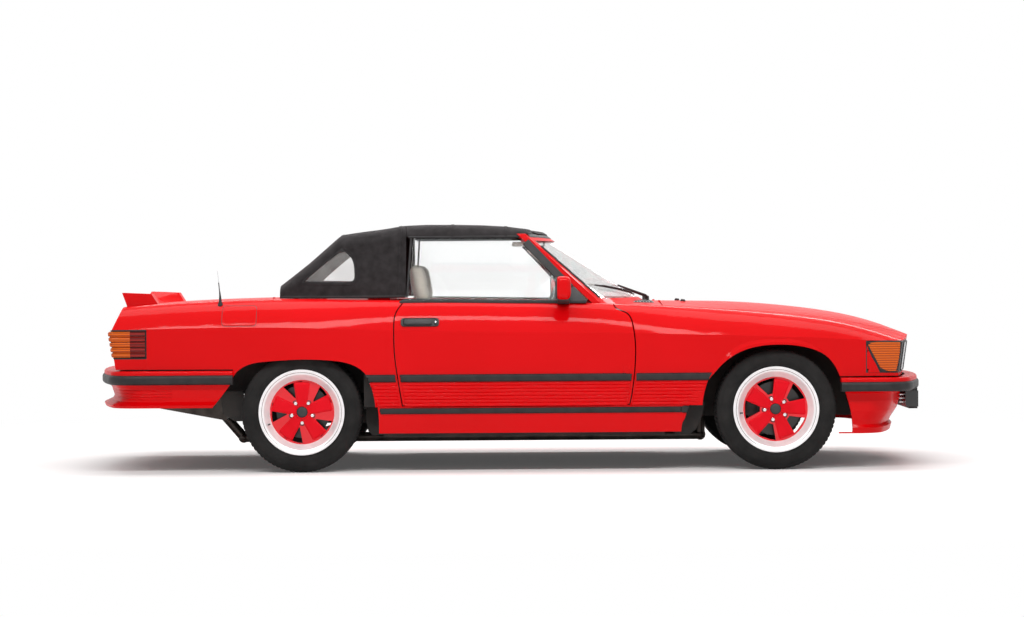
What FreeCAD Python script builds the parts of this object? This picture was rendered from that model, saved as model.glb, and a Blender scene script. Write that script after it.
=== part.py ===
import FreeCAD
import Part

import functools
import math
import os
import re

import Sketcher

from FreeCAD import Placement, Rotation, Vector

# Convertible car with a fabric top, 1:1, in millimetres. +X points forward, +Y to the car's left
# and +Z up. The origin lies on the ground under the middle of the overall length.

doc = FreeCAD.newDocument("ConvertibleCar")
sheet = doc.addObject("Spreadsheet::Sheet", "Sizes")

# Driving dimensions: alias, value in millimetres or degrees, what it measures.
DRIVING = [
    ("overall_length", 4410, "bumper to bumper"),
    ("body_width", 1790, "across the doors"),
    ("front_overhang", 832, "front bumper to front axle"),
    ("wheelbase", 2455, "axle to axle"),
    ("track", 1470, "between wheel centre planes"),
    ("sill_height", 201, "ground to the sill's lower edge"),
    ("rub_height", 487, "ground to the side strip"),
    ("shoulder_height", 722, "ground to the side's crease, at mid length"),
    ("belt_height", 871, "ground to the door's top edge, at mid length"),
    ("roof_height", 1290, "ground to the fabric top's highest bow"),
    ("sill_tuck", 42, "how far the sill's lower edge stands inboard"),
    ("panel_wall", 22, "thickness of wings, quarters and lids"),
    ("shut_gap", 6, "gap round doors and lids"),
    ("nose_setback", 62, "front bumper's tip to the grille"),
    ("tail_setback", 95, "rear bumper's tip to the tail panel"),
    ("nose_bow", 110, "how far the nose bows forward in plan"),
    ("tail_bow", 38, "how far the tail bows back in plan"),
    ("nose_corner", 105, "plan radius of the nose's corners"),
    ("tail_corner", 95, "plan radius of the tail's corners"),
    ("nose_rake", 80, "how far the nose leans back at its foot"),
    ("tail_rake", 92, "how far the tail leans forward at its foot"),
    ("deck_rake", 92, "how far the tail leans forward at its top"),
    ("door_swing", 65, "degrees that a door opens"),
    ("door_depth", 130, "outer skin to inner trim, at the shoulder"),
    ("door_flange", 14, "how far the door's skin reaches past its thick part"),
    ("door_skin", 25, "thickness of that flange"),
    ("arch_rim", 15, "how far the wheel arch lips stand proud"),
    ("brow_width", 30, "how wide the wheel arch brows slope, from their upper line to the lip"),
    ("bumper_depth", 62, "front to back, through a bumper's section"),
    ("bumper_stand", 7, "gap between a bumper and the painted side above it"),
    ("apron_wall", 16, "thickness of the front and rear aprons"),
    ("bumper_rubber", 50, "height of a bumper's rubber strip"),
    ("bumper_round", 17, "radius of the rubber strip's outer edges"),
    ("bumper_cap", 22, "height of the painted strip on top of it"),
    ("tyre_radius", 312, "outer radius"),
    ("tyre_width", 225, "section width"),
    ("tread_width", 178, "flat of the tread"),
    ("tyre_wall", 14, "tread and sidewall thickness"),
    ("rim_radius", 222, "flange radius"),
    ("rim_width", 214, "over the flanges"),
    ("flange_width", 9, "width of a rim flange"),
    ("seat_radius", 204, "radius of the bead seat"),
    ("seat_width", 26, "width of a bead seat"),
    ("well_radius", 186, "radius of the rim's well"),
    ("rim_wall", 8, "barrel thickness"),
    ("face_radius", 168, "radius of the spoked centre"),
    ("face_setback", 46, "outer flange to the spokes' front"),
    ("spoke_thickness", 24, "front to back"),
    ("window_inner", 80, "wheel centre to the inner edge of a window"),
    ("window_outer", 158, "wheel centre to the outer edge of a window"),
    ("window_foot", 26, "width of a window at its inner edge"),
    ("window_mouth", 104, "width of a window at its outer edge"),
    ("mount_offset", 11, "wheel centre plane to the mounting face"),
    ("disc_inset", 5, "wheel centre plane to the brake disc"),
    ("hub_depth", 31, "wheel centre plane to the hub's inner end"),
    ("hub_radius", 74, "radius of the wheel's solid centre"),
    ("running_gap", 0.3, "clearance at pins, beads and hubs"),
    ("disc_radius", 139, "brake disc"),
    ("disc_thickness", 22, "brake disc"),
    ("stub_radius", 20, "wheel's stub axle"),
    ("kingpin_inset", 55, "wheel centre plane to the steering axis"),
    ("knuckle_height", 236, "over the knuckle's two ball seats"),
    ("knuckle_width", 70, "knuckle, along the car"),
    ("knuckle_thickness", 42, "knuckle, across the car"),
    ("pin_radius", 7, "door hinge pins"),
    ("lid_pin_radius", 2.5, "bonnet and boot hinge pins"),
    ("barrel_radius", 6, "bonnet and boot hinge barrels"),
    ("barrel_length", 22, "one barrel of a bonnet or boot hinge"),
    ("shaft_radius", 9, "steering shaft, inside the wheel's hub"),
    ("glass_thickness", 6, "glass"),
    ("fabric_thickness", 12, "fabric top with its lining"),
    ("floor_thickness", 18, "floor and bulkheads"),
    ("steering_wheel_radius", 195, "rim centreline"),
    ("steering_rim", 14, "radius of the steering wheel's grip"),
    ("column_radius", 24, "steering column's shroud"),
]

# Sizes that follow from those, as formulas.
DERIVED = [
    ("front_axle", "=overall_length / 2 - front_overhang", "front axle's place along the car"),
    ("rear_axle", "=front_axle - wheelbase", "rear axle's place along the car"),
]

for row, (alias, value, note) in enumerate(DRIVING + DERIVED, 1):
    sheet.set(f"A{row}", note)
    sheet.set(f"B{row}", str(value))
    sheet.setAlias(f"B{row}", alias)
doc.recompute()


class Sizes:
    """Reads a driving dimension from the sheet by its alias."""

    def __getattr__(self, alias):
        return float(sheet.get(alias))


S = Sizes()
parts = []

# Places that follow from the driving dimensions.
HALF_LENGTH = S.overall_length / 2
HALF_WIDTH = S.body_width / 2
FRONT_AXLE = HALF_LENGTH - S.front_overhang
REAR_AXLE = FRONT_AXLE - S.wheelbase
REAR_OVERHANG = REAR_AXLE + HALF_LENGTH
WHEEL_Y = S.track / 2
KINGPIN_Y = WHEEL_Y - S.kingpin_inset
LEVELS = [0, S.sill_height, S.rub_height, S.shoulder_height, S.belt_height, S.roof_height]
BIG = S.overall_length
RIGHT, LEFT = -1, 1


def along(station_share):
    """Place along the car: -1 tail, 0 rear axle, 1 front axle, 2 nose."""
    if station_share < 0:
        return REAR_AXLE + station_share * REAR_OVERHANG
    if station_share > 1:
        return FRONT_AXLE + (station_share - 1) * S.front_overhang
    return REAR_AXLE + station_share * S.wheelbase


def wide(width_share):
    """Distance from the middle, as a share of half the body's width."""
    return width_share * HALF_WIDTH


def level(level_share):
    """Height: 0 ground, 1 sill, 2 side strip, 3 shoulder, 4 belt, 5 roof."""
    step = max(0, min(4, int(level_share)))
    return LEVELS[step] + (level_share - step) * (LEVELS[step + 1] - LEVELS[step])


def spots(place_shares):
    """Points (x, z) of a side view from their stations and levels."""
    return [(along(a), level(b)) for a, b in place_shares]


def vec(x, y, z):
    return Vector(x, y, z)


def box(x0, x1, y0, y1, z0, z1):
    """A block between two corners given in any order."""
    x0, x1 = sorted((x0, x1))
    y0, y1 = sorted((y0, y1))
    z0, z1 = sorted((z0, z1))
    return Part.makeBox(x1 - x0, y1 - y0, z1 - z0, vec(x0, y0, z0))


def rod(start, end, radius):
    axis = end - start
    return Part.makeCylinder(radius, axis.Length, start, axis)


def spline(points):
    curve = Part.BSplineCurve()
    curve.interpolate(points)
    return curve.toShape()


def polygon(points):
    return Part.makePolygon(points + [points[0]])


def side_prism(outline, y0, y1):
    """A closed outline of (x, z) points carried across the car from y0 to y1."""
    wire = polygon([vec(x, y0, z) for x, z in outline])
    return Part.Face(wire).extrude(vec(0, y1 - y0, 0))


def plan_prism(outline, z0, z1):
    wire = polygon([vec(x, y, z0) for x, y in outline])
    return Part.Face(wire).extrude(vec(0, 0, z1 - z0))


def end_prism(outline, x0, x1):
    wire = polygon([vec(x0, y, z) for y, z in outline])
    return Part.Face(wire).extrude(vec(x1 - x0, 0, 0))


def inset_outline(points, distance):
    """Corners of a closed outline, moved inwards by a distance from both of their sides."""
    area = sum(a[0] * b[1] - b[0] * a[1] for a, b in zip(points, points[1:] + points[:1]))
    reach = math.copysign(distance, area)
    moved = []
    for before, here, after in zip(points[-1:] + points[:-1], points, points[1:] + points[:1]):
        normals = []
        for a, b in ((before, here), (here, after)):
            run = math.hypot(b[0] - a[0], b[1] - a[1])
            normals.append(((a[1] - b[1]) / run, (b[0] - a[0]) / run))
        (ax, az), (bx, bz) = normals
        share = reach / (1 + ax * bx + az * bz)
        moved.append((here[0] + share * (ax + bx), here[1] + share * (az + bz)))
    return moved


def outline_face(stretches, inset, spot):
    """Face of a closed outline: a stretch of two points is a line and a longer one a spline."""
    corners = [point for stretch in stretches for point in stretch[:-1]]
    if inset:
        corners = inset_outline(corners, inset)
    corners.append(corners[0])
    edges = []
    start = 0
    for stretch in stretches:
        points = [spot(*corner) for corner in corners[start:start + len(stretch)]]
        edges.append(Part.makeLine(*points) if len(points) == 2 else spline(points))
        start += len(stretch) - 1
    return Part.Face(Part.Wire(edges))


def smooth_prism(stretches, y0, y1, inset=0):
    """A closed side outline of lines and splines, carried across the car from y0 to y1."""
    face = outline_face(stretches, inset, lambda x, z: vec(x, y0, z))
    return face.extrude(vec(0, y1 - y0, 0))


def mirrored(shape):
    return shape.mirror(vec(0, 0, 0), vec(0, 1, 0))


def sided(shape, side):
    """The shape as built for the left, or its mirror image for the right."""
    return shape if side == LEFT else mirrored(shape)


def fused(shapes):
    whole = shapes[0].multiFuse(shapes[1:]).removeSplitter()
    return whole.Solids[0] if len(whole.Solids) == 1 else whole


def feature(label, shape):
    """Files a shape as a named sub-part."""
    item = doc.addObject("Part::Feature", label)
    item.Label = label
    item.Shape = shape
    parts.append(item)
    return item


def both_sides(label, make):
    """The same sub-part on the right and on the left."""
    shape = make()
    feature(f"{label}_right", mirrored(shape))
    feature(f"{label}_left", shape)


# Outer form of the body, in sections across it: station, then the shoulder's height and half
# width, the ridge's height and half width and the middle's height, as shares of the shoulder
# height, half the width and the belt height.
SECTION_SHARES = [
    (-1.078, 1.028, 0.907, 0.976, 0.799, 0.984),
    (-0.817, 1.033, 0.933, 0.987, 0.810, 1.000),
    (-0.607, 1.038, 0.951, 1.007, 0.821, 1.016),
    (-0.372, 1.043, 0.968, 1.021, 0.829, 1.028),
    (-0.105, 1.042, 0.981, 1.028, 0.840, 1.034),
    (0.081, 1.030, 0.989, 1.021, 0.866, 1.032),
    (0.216, 1.015, 0.996, 1.012, 0.894, 1.028),
    (0.441, 1.000, 1.000, 1.000, 0.903, 1.018),
    (0.665, 0.989, 0.998, 0.983, 0.894, 1.008),
    (0.767, 0.981, 0.994, 0.971, 0.866, 1.000),
    (0.929, 0.963, 0.983, 0.941, 0.838, 0.992),
    (1.213, 0.946, 0.966, 0.902, 0.825, 0.958),
    (1.512, 0.928, 0.947, 0.854, 0.813, 0.914),
    (1.693, 0.917, 0.936, 0.808, 0.804, 0.870),
    (1.814, 0.907, 0.927, 0.776, 0.796, 0.829),
    (1.934, 0.886, 0.918, 0.752, 0.782, 0.772),
    (2.080, 0.845, 0.907, 0.712, 0.771, 0.700),
]


def body_section(row, inset):
    """Closed section of the body: floor, two sides from sill to shoulder, and the top."""
    station, shoulder_z, shoulder_y, ridge_z, ridge_y, centre_z = row
    x = along(station)
    zs = shoulder_z * S.shoulder_height - 0.6 * inset
    ys = wide(shoulder_y) - inset
    zr = ridge_z * S.belt_height - inset
    yr = wide(ridge_y) - 0.8 * inset
    zc = centre_z * S.belt_height - inset
    rub = S.rub_height
    sill = S.sill_height - inset
    tuck = S.sill_tuck
    top_half = [
        (ys, zs),
        (ys - 0.40 * (ys - yr), zs + 0.60 * (zr - zs)),
        (ys - 0.78 * (ys - yr), zs + 0.90 * (zr - zs)),
        (yr, zr),
        (0.92 * yr, zr + 0.25 * (zc - zr)),
        (0.50 * yr, zr + 0.80 * (zc - zr)),
    ]
    side_half = [
        (ys, zs),
        (ys - 0.05 * tuck, (zs + rub) / 2),
        (ys - 0.20 * tuck, rub),
        (ys - 0.50 * tuck, (rub + sill) / 2),
        (ys - tuck, sill),
    ]
    top = [vec(x, y, z) for y, z in top_half] + [vec(x, 0, zc)]
    top += [vec(x, -y, z) for y, z in reversed(top_half)]
    left = [vec(x, y, z) for y, z in side_half]
    right = [vec(x, -y, z) for y, z in reversed(side_half)]
    floor = Part.makeLine(left[-1], right[0])
    return Part.Wire([spline(top), spline(right[::-1]), floor, spline(left)])


def plan_wire(nose_x, tail_x, half_width, nose_bow, tail_bow, nose_corner, tail_corner, z):
    """Closed plan outline: straight sides, round corners, and bowed ends tangent to them."""

    def corner(tip_x, bow, radius):
        turn = 0.0
        for _ in range(6):
            half_chord = half_width - radius + radius * math.sin(turn)
            turn = 2 * math.atan(bow / half_chord)
        angle = math.pi / 2 - turn
        centre = vec(tip_x - bow - radius * math.sin(angle), half_width - radius, z)
        start = centre + vec(0, radius, 0)
        middle = centre + vec(radius * math.sin(angle / 2), radius * math.cos(angle / 2), 0)
        end = centre + vec(radius * math.sin(angle), radius * math.cos(angle), 0)
        return start, middle, end

    def across(point):
        return vec(point.x, -point.y, point.z)

    def back(point):
        return vec(-point.x, point.y, point.z)

    f0, f1, f2 = corner(nose_x, nose_bow, nose_corner)
    r0, r1, r2 = (back(p) for p in corner(-tail_x, tail_bow, tail_corner))
    edges = [
        Part.makeLine(r0, f0),
        Part.Arc(f0, f1, f2).toShape(),
        Part.Arc(f2, vec(nose_x, 0, z), across(f2)).toShape(),
        Part.Arc(across(f2), across(f1), across(f0)).toShape(),
        Part.makeLine(across(f0), across(r0)),
        Part.Arc(across(r0), across(r1), across(r2)).toShape(),
        Part.Arc(across(r2), vec(tail_x, 0, z), r2).toShape(),
        Part.Arc(r2, r1, r0).toShape(),
    ]
    return Part.Wire(edges)


NOSE_X = HALF_LENGTH - S.nose_setback
TAIL_X = -HALF_LENGTH + S.tail_setback


def ends_outline(nose_shift, tail_shift, inset, z):
    return plan_wire(
        NOSE_X + nose_shift - inset,
        TAIL_X + tail_shift + inset,
        HALF_WIDTH + 2 * S.arch_rim,
        S.nose_bow,
        S.tail_bow,
        S.nose_corner,
        S.tail_corner,
        z,
    )


@functools.cache
def body_form(inset=0):
    """The whole outer form less an inset, with its raked nose and tail in their plan outline."""
    hull = Part.makeLoft([body_section(row, inset) for row in SECTION_SHARES], True, False)
    foot = S.sill_height - 2 * S.panel_wall
    crown = S.belt_height + 2 * S.panel_wall
    levels = [
        ends_outline(-S.nose_rake, S.tail_rake, inset, foot),
        ends_outline(0, 0, inset, S.shoulder_height),
        ends_outline(S.nose_rake / 3, S.deck_rake, inset, crown),
    ]
    return hull.common(Part.makeLoft(levels, True, True))


BODY = body_form()
BODY_INSIDE = body_form(S.panel_wall)

# Side outlines, as (station, level) shares.
DOOR_FRONT_SHARES = [
    (0.663, 4.069), (0.666, 3.805), (0.688, 3.631), (0.701, 3.107), (0.705, 2.655), (0.703, 2.149),
    (0.697, 1.696), (0.692, 1.490),
]
DOOR_REAR_SHARES = [
    (0.212, 1.490), (0.201, 2.094), (0.196, 2.557), (0.195, 3.168), (0.199, 3.685), (0.213, 4.014),
    (0.218, 4.069),
]
REAR_ARCH_SHARES = [
    (-0.337, 0.945), (-0.332, 1.696), (-0.299, 2.140), (-0.239, 2.319), (-0.150, 2.387),
    (-0.071, 2.413), (0.009, 2.426), (0.062, 2.400), (0.103, 2.323), (0.133, 2.132),
    (0.149, 1.864), (0.159, 1.573), (0.163, 0.945),
]
FRONT_ARCH_SHARES = [
    (0.799, 0.945), (0.811, 1.395), (0.836, 1.734), (0.863, 1.997), (0.896, 2.357), (0.944, 2.609),
    (1.005, 2.685), (1.177, 2.626), (1.321, 2.396), (1.395, 1.997), (1.435, 1.647), (1.465, 1.339),
    (1.477, 0.945),
]
FRONT_BROW_SHARES = [
    (0.879, 2.166), (0.896, 2.532), (0.925, 2.745), (1.001, 2.864), (1.174, 2.809), (1.299, 2.532),
    (1.355, 2.226),
]
REAR_BROW_SHARES = [
    (-0.288, 2.174), (-0.231, 2.464), (-0.139, 2.647), (0.008, 2.711), (0.084, 2.638), (0.115, 2.430),
    (0.134, 2.119),
]
SILL_TOP = level(1.469)
FRONT_BUMPER_TOP = level(1.979)
REAR_BUMPER_TOP = level(2.217)


def arch_cut(shares, y0, y1):
    """The wheel opening of one side, as a solid that runs from y0 to y1."""
    points = spots(shares)
    return smooth_prism([points, [points[-1], points[0]]], y0, y1)


def door_prism(inset, y0, y1):
    front = spots(DOOR_FRONT_SHARES)
    rear = spots(DOOR_REAR_SHARES)
    outline = [front, [front[-1], rear[0]], rear, [rear[-1], front[0]]]
    return smooth_prism(outline, y0, y1, inset)


OUTSIDE = HALF_WIDTH + 4 * S.arch_rim
CUT_OVERRUN = S.running_gap / 30
DOOR_INNER_Y = HALF_WIDTH - S.door_depth
HINGE_X = along(0.682)
HINGE_Y = wide(0.993) - S.pin_radius - S.shut_gap / 2
SWING_LOW = level(3.242)
SWING_TOP = level(3.638)
LID_HALF_WIDTH = wide(0.721)
LID_FRONT_X = along(-0.160)
WELL_HALF_WIDTH = wide(0.782)
BONNET_REAR_X = along(0.765)
BONNET_SHARES = [
    (0.765, 0.821), (0.889, 0.813), (1.032, 0.796), (1.393, 0.771),
    (1.633, 0.732), (1.790, 0.659), (2.114, 0.525),
]
COWL_FRONT_X = BONNET_REAR_X
COWL_REAR_X = along(0.602)
COWL_HALF_WIDTH = wide(0.821)


def bonnet_prism(inset, z0, z1):
    """The bonnet opening in plan, less an inset, from one height to another."""
    left = [(along(a), wide(b)) for a, b in BONNET_SHARES]
    right = [(x, -y) for x, y in reversed(left)]
    stretches = [left, [left[-1], right[0]], right, [right[-1], left[0]]]
    face = outline_face(stretches, inset, lambda x, y: vec(x, y, z0))
    return face.extrude(vec(0, 0, z1 - z0))


# Front of the car: lamps, grille and the panel that frames them.
LAMP_BACK_X = along(1.559)
LAMP_BOTTOM = level(2.043)
LAMP_TOP = level(2.753)
LAMP_INNER_Y = wide(0.505)
GRILLE_HALF_WIDTH = wide(0.475)
GRILLE_BOTTOM = level(2.000)
GRILLE_TOP = level(2.745)
GRILLE_DEPTH = wide(0.067)


def front_wing():
    """Left front wing: skin from the door to the nose, with its arch, flare and inner flange."""
    region = box(along(0.653), HALF_LENGTH, S.panel_wall, OUTSIDE, SILL_TOP, S.roof_height)
    skin = BODY.cut(BODY_INSIDE).common(region)
    skin = skin.fuse(flare(FRONT_BROW_SHARES))
    skin = skin.cut(door_prism(-CUT_OVERRUN, 0, 2 * OUTSIDE))
    skin = skin.cut(arch_cut(FRONT_ARCH_SHARES, 0, OUTSIDE))
    skin = skin.cut(bonnet_prism(0, 0, BIG))
    skin = skin.cut(box(-BIG, COWL_FRONT_X + S.shut_gap, 0, COWL_HALF_WIDTH + S.running_gap, 0, BIG))
    nose = box(LAMP_BACK_X, HALF_LENGTH, 0, OUTSIDE, 0, LAMP_TOP)
    skin = skin.cut(nose)
    skin = skin.cut(box(along(1.393), HALF_LENGTH, 0, OUTSIDE, 0, FRONT_BUMPER_TOP))
    return largest(skin.cut(swing_room()))


def swing_room():
    """Room round the left hinge line for the door's upper front corner, which swings in there."""
    radius = HALF_WIDTH - HINGE_Y + 1.3 * S.shut_gap
    return rod(vec(HINGE_X, HINGE_Y, SWING_LOW), vec(HINGE_X, HINGE_Y, SWING_TOP), radius)


def rear_quarter():
    """Left rear quarter: skin from the door to the tail, with its arch and flare."""
    region = box(-HALF_LENGTH, along(0.237), S.panel_wall, OUTSIDE, SILL_TOP, S.roof_height)
    skin = BODY.cut(BODY_INSIDE).common(region)
    skin = skin.fuse(flare(REAR_BROW_SHARES))
    skin = skin.cut(door_prism(-CUT_OVERRUN, 0, 2 * OUTSIDE))
    skin = skin.cut(arch_cut(REAR_ARCH_SHARES, 0, OUTSIDE))
    skin = skin.cut(box(-BIG, LID_FRONT_X, 0, LID_HALF_WIDTH, 0, BIG))
    skin = skin.cut(box(LID_FRONT_X, BIG, 0, WELL_HALF_WIDTH, 0, BIG))
    skin = skin.cut(box(-BIG, TAIL_LAMP_FRONT_X, 0, OUTSIDE, 0, TAIL_LAMP_TOP))
    skin = skin.cut(box(-BIG, along(-0.313), 0, OUTSIDE, 0, REAR_BUMPER_TOP))
    return largest(skin)


def largest(shape):
    return max(shape.Solids, key=lambda solid: solid.Volume)


def flare(brow_shares):
    """The brow over a left wheel opening: flush at its upper line and proud at its lip."""
    outline = spots(brow_shares)
    tip_y, foot_y = (wide(side_share(brow_shares[i][0])) for i in (0, -1))
    slope = (foot_y - tip_y) / (outline[-1][0] - outline[0][0])
    wires = []
    for inset, proud in ((0, -S.panel_wall / 4), (S.brow_width, S.arch_rim)):

        def spot(x, z, proud=proud):
            return vec(x, tip_y + slope * (x - outline[0][0]) + proud, z)

        wires.append(outline_face([outline, [outline[-1], outline[0]]], inset, spot).OuterWire)
    return Part.makeLoft(wires, True, True)


def side_share(station):
    """Half width of the body's shoulder at a station, between its two nearest sections."""
    for before, after in zip(SECTION_SHARES, SECTION_SHARES[1:]):
        if station <= after[0]:
            share = (station - before[0]) / (after[0] - before[0])
            return before[2] + share * (after[2] - before[2])
    return SECTION_SHARES[-1][2]


def front_panel():
    """The painted frame round the grille and under the lamps."""
    region = box(along(1.465), HALF_LENGTH, -OUTSIDE, OUTSIDE, FRONT_BUMPER_TOP, LAMP_TOP)
    deep = BODY.common(region).cut(body_form(GRILLE_DEPTH))
    deep = deep.cut(box(0, BIG, -GRILLE_HALF_WIDTH, GRILLE_HALF_WIDTH, GRILLE_BOTTOM, GRILLE_TOP))
    for side in (RIGHT, LEFT):
        lamp = box(0, BIG, side * LAMP_INNER_Y, side * OUTSIDE, LAMP_BOTTOM, BIG)
        deep = deep.cut(lamp)
        deep = deep.cut(box(0, LAMP_BACK_X, side * wide(0.670), side * OUTSIDE, 0, BIG))
    return largest(deep)


def headlamp():
    """Left headlamp with the wrapped corner lamp, as one closed block of its outer shape."""
    g = S.running_gap
    region = box(LAMP_BACK_X + g, BIG, LAMP_INNER_Y + g, OUTSIDE, LAMP_BOTTOM + g, LAMP_TOP - g)
    return largest(BODY.common(region).cut(body_form(GRILLE_DEPTH)))


def grille():
    """Frame, upright bars and crossbars, all in one frame set back in the opening."""
    g = S.running_gap
    w = GRILLE_HALF_WIDTH - g
    band = body_form(S.panel_wall / 2).cut(body_form(GRILLE_DEPTH - S.panel_wall / 2))
    band = band.common(box(along(1.465), BIG, -w, w, GRILLE_BOTTOM + g, GRILLE_TOP - g))
    bars = []
    count = 5
    pitch = (GRILLE_TOP - GRILLE_BOTTOM) / count
    for i in range(count):
        z = GRILLE_BOTTOM + g + S.rim_wall + i * pitch
        bars.append(box(0, BIG, S.rim_wall - w, w - S.rim_wall, z, z + pitch - 2 * S.rim_wall))
    for bar in bars:
        band = band.cut(bar)
    back = body_form(GRILLE_DEPTH - S.panel_wall).cut(body_form(GRILLE_DEPTH))
    back = back.common(box(along(1.465), BIG, -w, w, GRILLE_BOTTOM + g, GRILLE_TOP - g))
    return largest(band.fuse(back))


def bonnet():
    """Bonnet panel, from the cowl to the top of the grille."""
    skin = BODY.cut(BODY_INSIDE).common(bonnet_prism(S.shut_gap, 0, BIG))
    skin = largest(skin.cut(box(-BIG, BIG, -BIG, BIG, 0, LAMP_TOP + S.shut_gap)))
    return largest(hung(skin, BONNET_AXIS, True))


# Hinge lines of the bonnet and the boot lid: in the shut gap, at the height of the panels' crown.
LID_HINGE_Y = wide(0.335)
BONNET_AXIS = (BONNET_REAR_X + S.shut_gap / 2, level(3.993))
BOOT_AXIS = (LID_FRONT_X - S.shut_gap / 2, level(4.069))


def hinge_barrels(axis, middle, radius, length):
    """Barrels of both hinges of a lid: the middle ones, or the pair beside each of them."""
    x, z = axis
    pieces = []
    for side in (RIGHT, LEFT):
        pitch = S.barrel_length + S.running_gap
        for step in (0,) if middle else (-1, 1):
            y = side * LID_HINGE_Y + step * pitch - length / 2
            pieces.append(rod(vec(x, y, z), vec(x, y + length, z), radius))
    return pieces


def hung(panel, axis, moving):
    """A lid with its middle barrels, or the fixed panel before it with the others and the pins."""
    grown = S.barrel_radius + 1.5 * S.running_gap
    room = S.barrel_length + 2 * S.running_gap
    for tool in hinge_barrels(axis, not moving, grown, room):
        panel = panel.cut(tool)
    barrels = hinge_barrels(axis, moving, S.barrel_radius, S.barrel_length)
    panel = fused([panel] + barrels)
    if moving:
        for tool in hinge_barrels(axis, True, S.lid_pin_radius + S.running_gap, 2 * S.barrel_length):
            panel = panel.cut(tool)
        return panel
    return fused([panel] + hinge_barrels(axis, True, S.lid_pin_radius, 2 * S.barrel_length))


def cowl():
    """Panel between the bonnet and the windscreen."""
    y = COWL_HALF_WIDTH
    foot_y = DOOR_INNER_Y - S.shut_gap
    region = box(COWL_REAR_X, COWL_FRONT_X, -y, y, 0, BIG)
    region = region.fuse(box(COWL_REAR_X, along(0.659), -foot_y, foot_y, 0, BIG))
    panel = BODY.cut(BODY_INSIDE).common(region)
    cabin = screen_slab(FRAME_DEPTH + S.shut_gap, BIG / 4, -FRAME_DEPTH, -0.6, 0.4)
    return largest(hung(largest(panel.cut(cabin)), BONNET_AXIS, False))


TAIL_LAMP_FRONT_X = along(-0.711)
TAIL_LAMP_TOP = level(3.154)
TAIL_LAMP_BOTTOM = level(2.447)
TAIL_LAMP_INNER_Y = wide(0.480)
LID_DROP_Z = level(2.332)
LID_LIP_Z = level(3.235)


def tail_lamp():
    """Left tail lamp, wrapped round the corner, as one closed block of its outer shape."""
    g = S.running_gap
    region = box(-BIG, TAIL_LAMP_FRONT_X - g, TAIL_LAMP_INNER_Y + g, OUTSIDE, TAIL_LAMP_BOTTOM + g, TAIL_LAMP_TOP - g)
    return largest(BODY.common(region).cut(body_form(GRILLE_DEPTH)))


def tail_panel():
    """The fixed panel under the lamps and below the boot lid."""
    region = box(-BIG, TAIL_LAMP_FRONT_X - S.running_gap, -OUTSIDE, OUTSIDE, REAR_BUMPER_TOP, TAIL_LAMP_TOP)
    deep = BODY.common(region).cut(body_form(S.panel_wall))
    deep = deep.cut(box(-BIG, 0, -TAIL_LAMP_INNER_Y + S.shut_gap, TAIL_LAMP_INNER_Y - S.shut_gap, LID_DROP_Z - S.shut_gap, BIG))
    for side in (RIGHT, LEFT):
        deep = deep.cut(box(-BIG, 0, side * TAIL_LAMP_INNER_Y, side * OUTSIDE, TAIL_LAMP_BOTTOM, BIG))
    return largest(deep)


# The spoiler's side outlines: low along the middle and raised at its ends.
SPOILER_LOW_SHARES = [
    (-0.853, 4.074), (-0.804, 4.067), (-0.751, 3.940), (-0.764, 3.523), (-0.828, 3.523), (-0.833, 3.966),
]
SPOILER_HIGH_SHARES = [
    (-0.847, 4.155), (-0.710, 4.138), (-0.673, 3.940), (-0.684, 3.523), (-0.822, 3.523), (-0.825, 3.973),
]
SPOILER_STEPS = [(SPOILER_LOW_SHARES, wide(0.469)), (SPOILER_HIGH_SHARES, wide(0.603))]
PLATE_HALF_WIDTH = wide(0.296)
PLATE_HEIGHT = wide(0.132)
REAR_PLATE_Z = level(2.715)


def spoiler(half_width):
    """The boot lid's spoiler, with its raised ends, down through the lid's skin."""
    steps = SPOILER_STEPS + [(SPOILER_HIGH_SHARES, half_width)]
    wires = []
    for shares, y in [(a, -b) for a, b in reversed(steps)] + steps:
        wires.append(polygon([vec(x, y, z) for x, z in spots(shares)]))
    return Part.makeLoft(wires, True, True).cut(BODY_INSIDE)


def rear_plate_pad():
    """Flat seat of the rear number plate, standing on the lid between the lamps."""
    back = TAIL_X + S.tail_rake * (S.shoulder_height - REAR_PLATE_Z) / S.shoulder_height
    low = REAR_PLATE_Z - PLATE_HEIGHT / 2
    block = box(back - S.shut_gap, back + 4 * S.panel_wall, -PLATE_HALF_WIDTH, PLATE_HALF_WIDTH, low, low + PLATE_HEIGHT)
    return block.cut(BODY_INSIDE)


def boot_lid():
    """Boot lid with the drop between the lamps and the spoiler along its edge."""
    top = BODY.cut(BODY_INSIDE)
    w = LID_HALF_WIDTH - S.shut_gap
    upper = top.common(box(-BIG, LID_FRONT_X - S.shut_gap, -w, w, LID_LIP_Z, BIG))
    d = TAIL_LAMP_INNER_Y - 2 * S.shut_gap
    lower = top.common(box(-BIG, along(-0.728), -d, d, LID_DROP_Z, LID_LIP_Z))
    lid = hung(largest(upper.fuse(lower)), BOOT_AXIS, True)
    return largest(lid.fuse(spoiler(w)).fuse(rear_plate_pad()))


def well_deck():
    """Lid of the storage well that the fabric top stands on."""
    top = BODY.cut(BODY_INSIDE)
    w = WELL_HALF_WIDTH
    deck = largest(top.common(box(LID_FRONT_X, along(0.180), -w, w, LID_LIP_Z, BIG)))
    return largest(hung(deck, BOOT_AXIS, False))


HINGE_REACH = math.hypot(along(0.705) - HINGE_X, HALF_WIDTH - HINGE_Y) + S.shut_gap


def sill():
    """Left sill between the arches, under the door."""
    region = box(along(0.160), along(0.803), wide(0.894), OUTSIDE, 0, SILL_TOP)
    block = BODY.common(region)
    block = block.cut(arch_cut(FRONT_ARCH_SHARES, 0, OUTSIDE))
    block = block.cut(arch_cut(REAR_ARCH_SHARES, 0, OUTSIDE))
    return largest(block)


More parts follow.
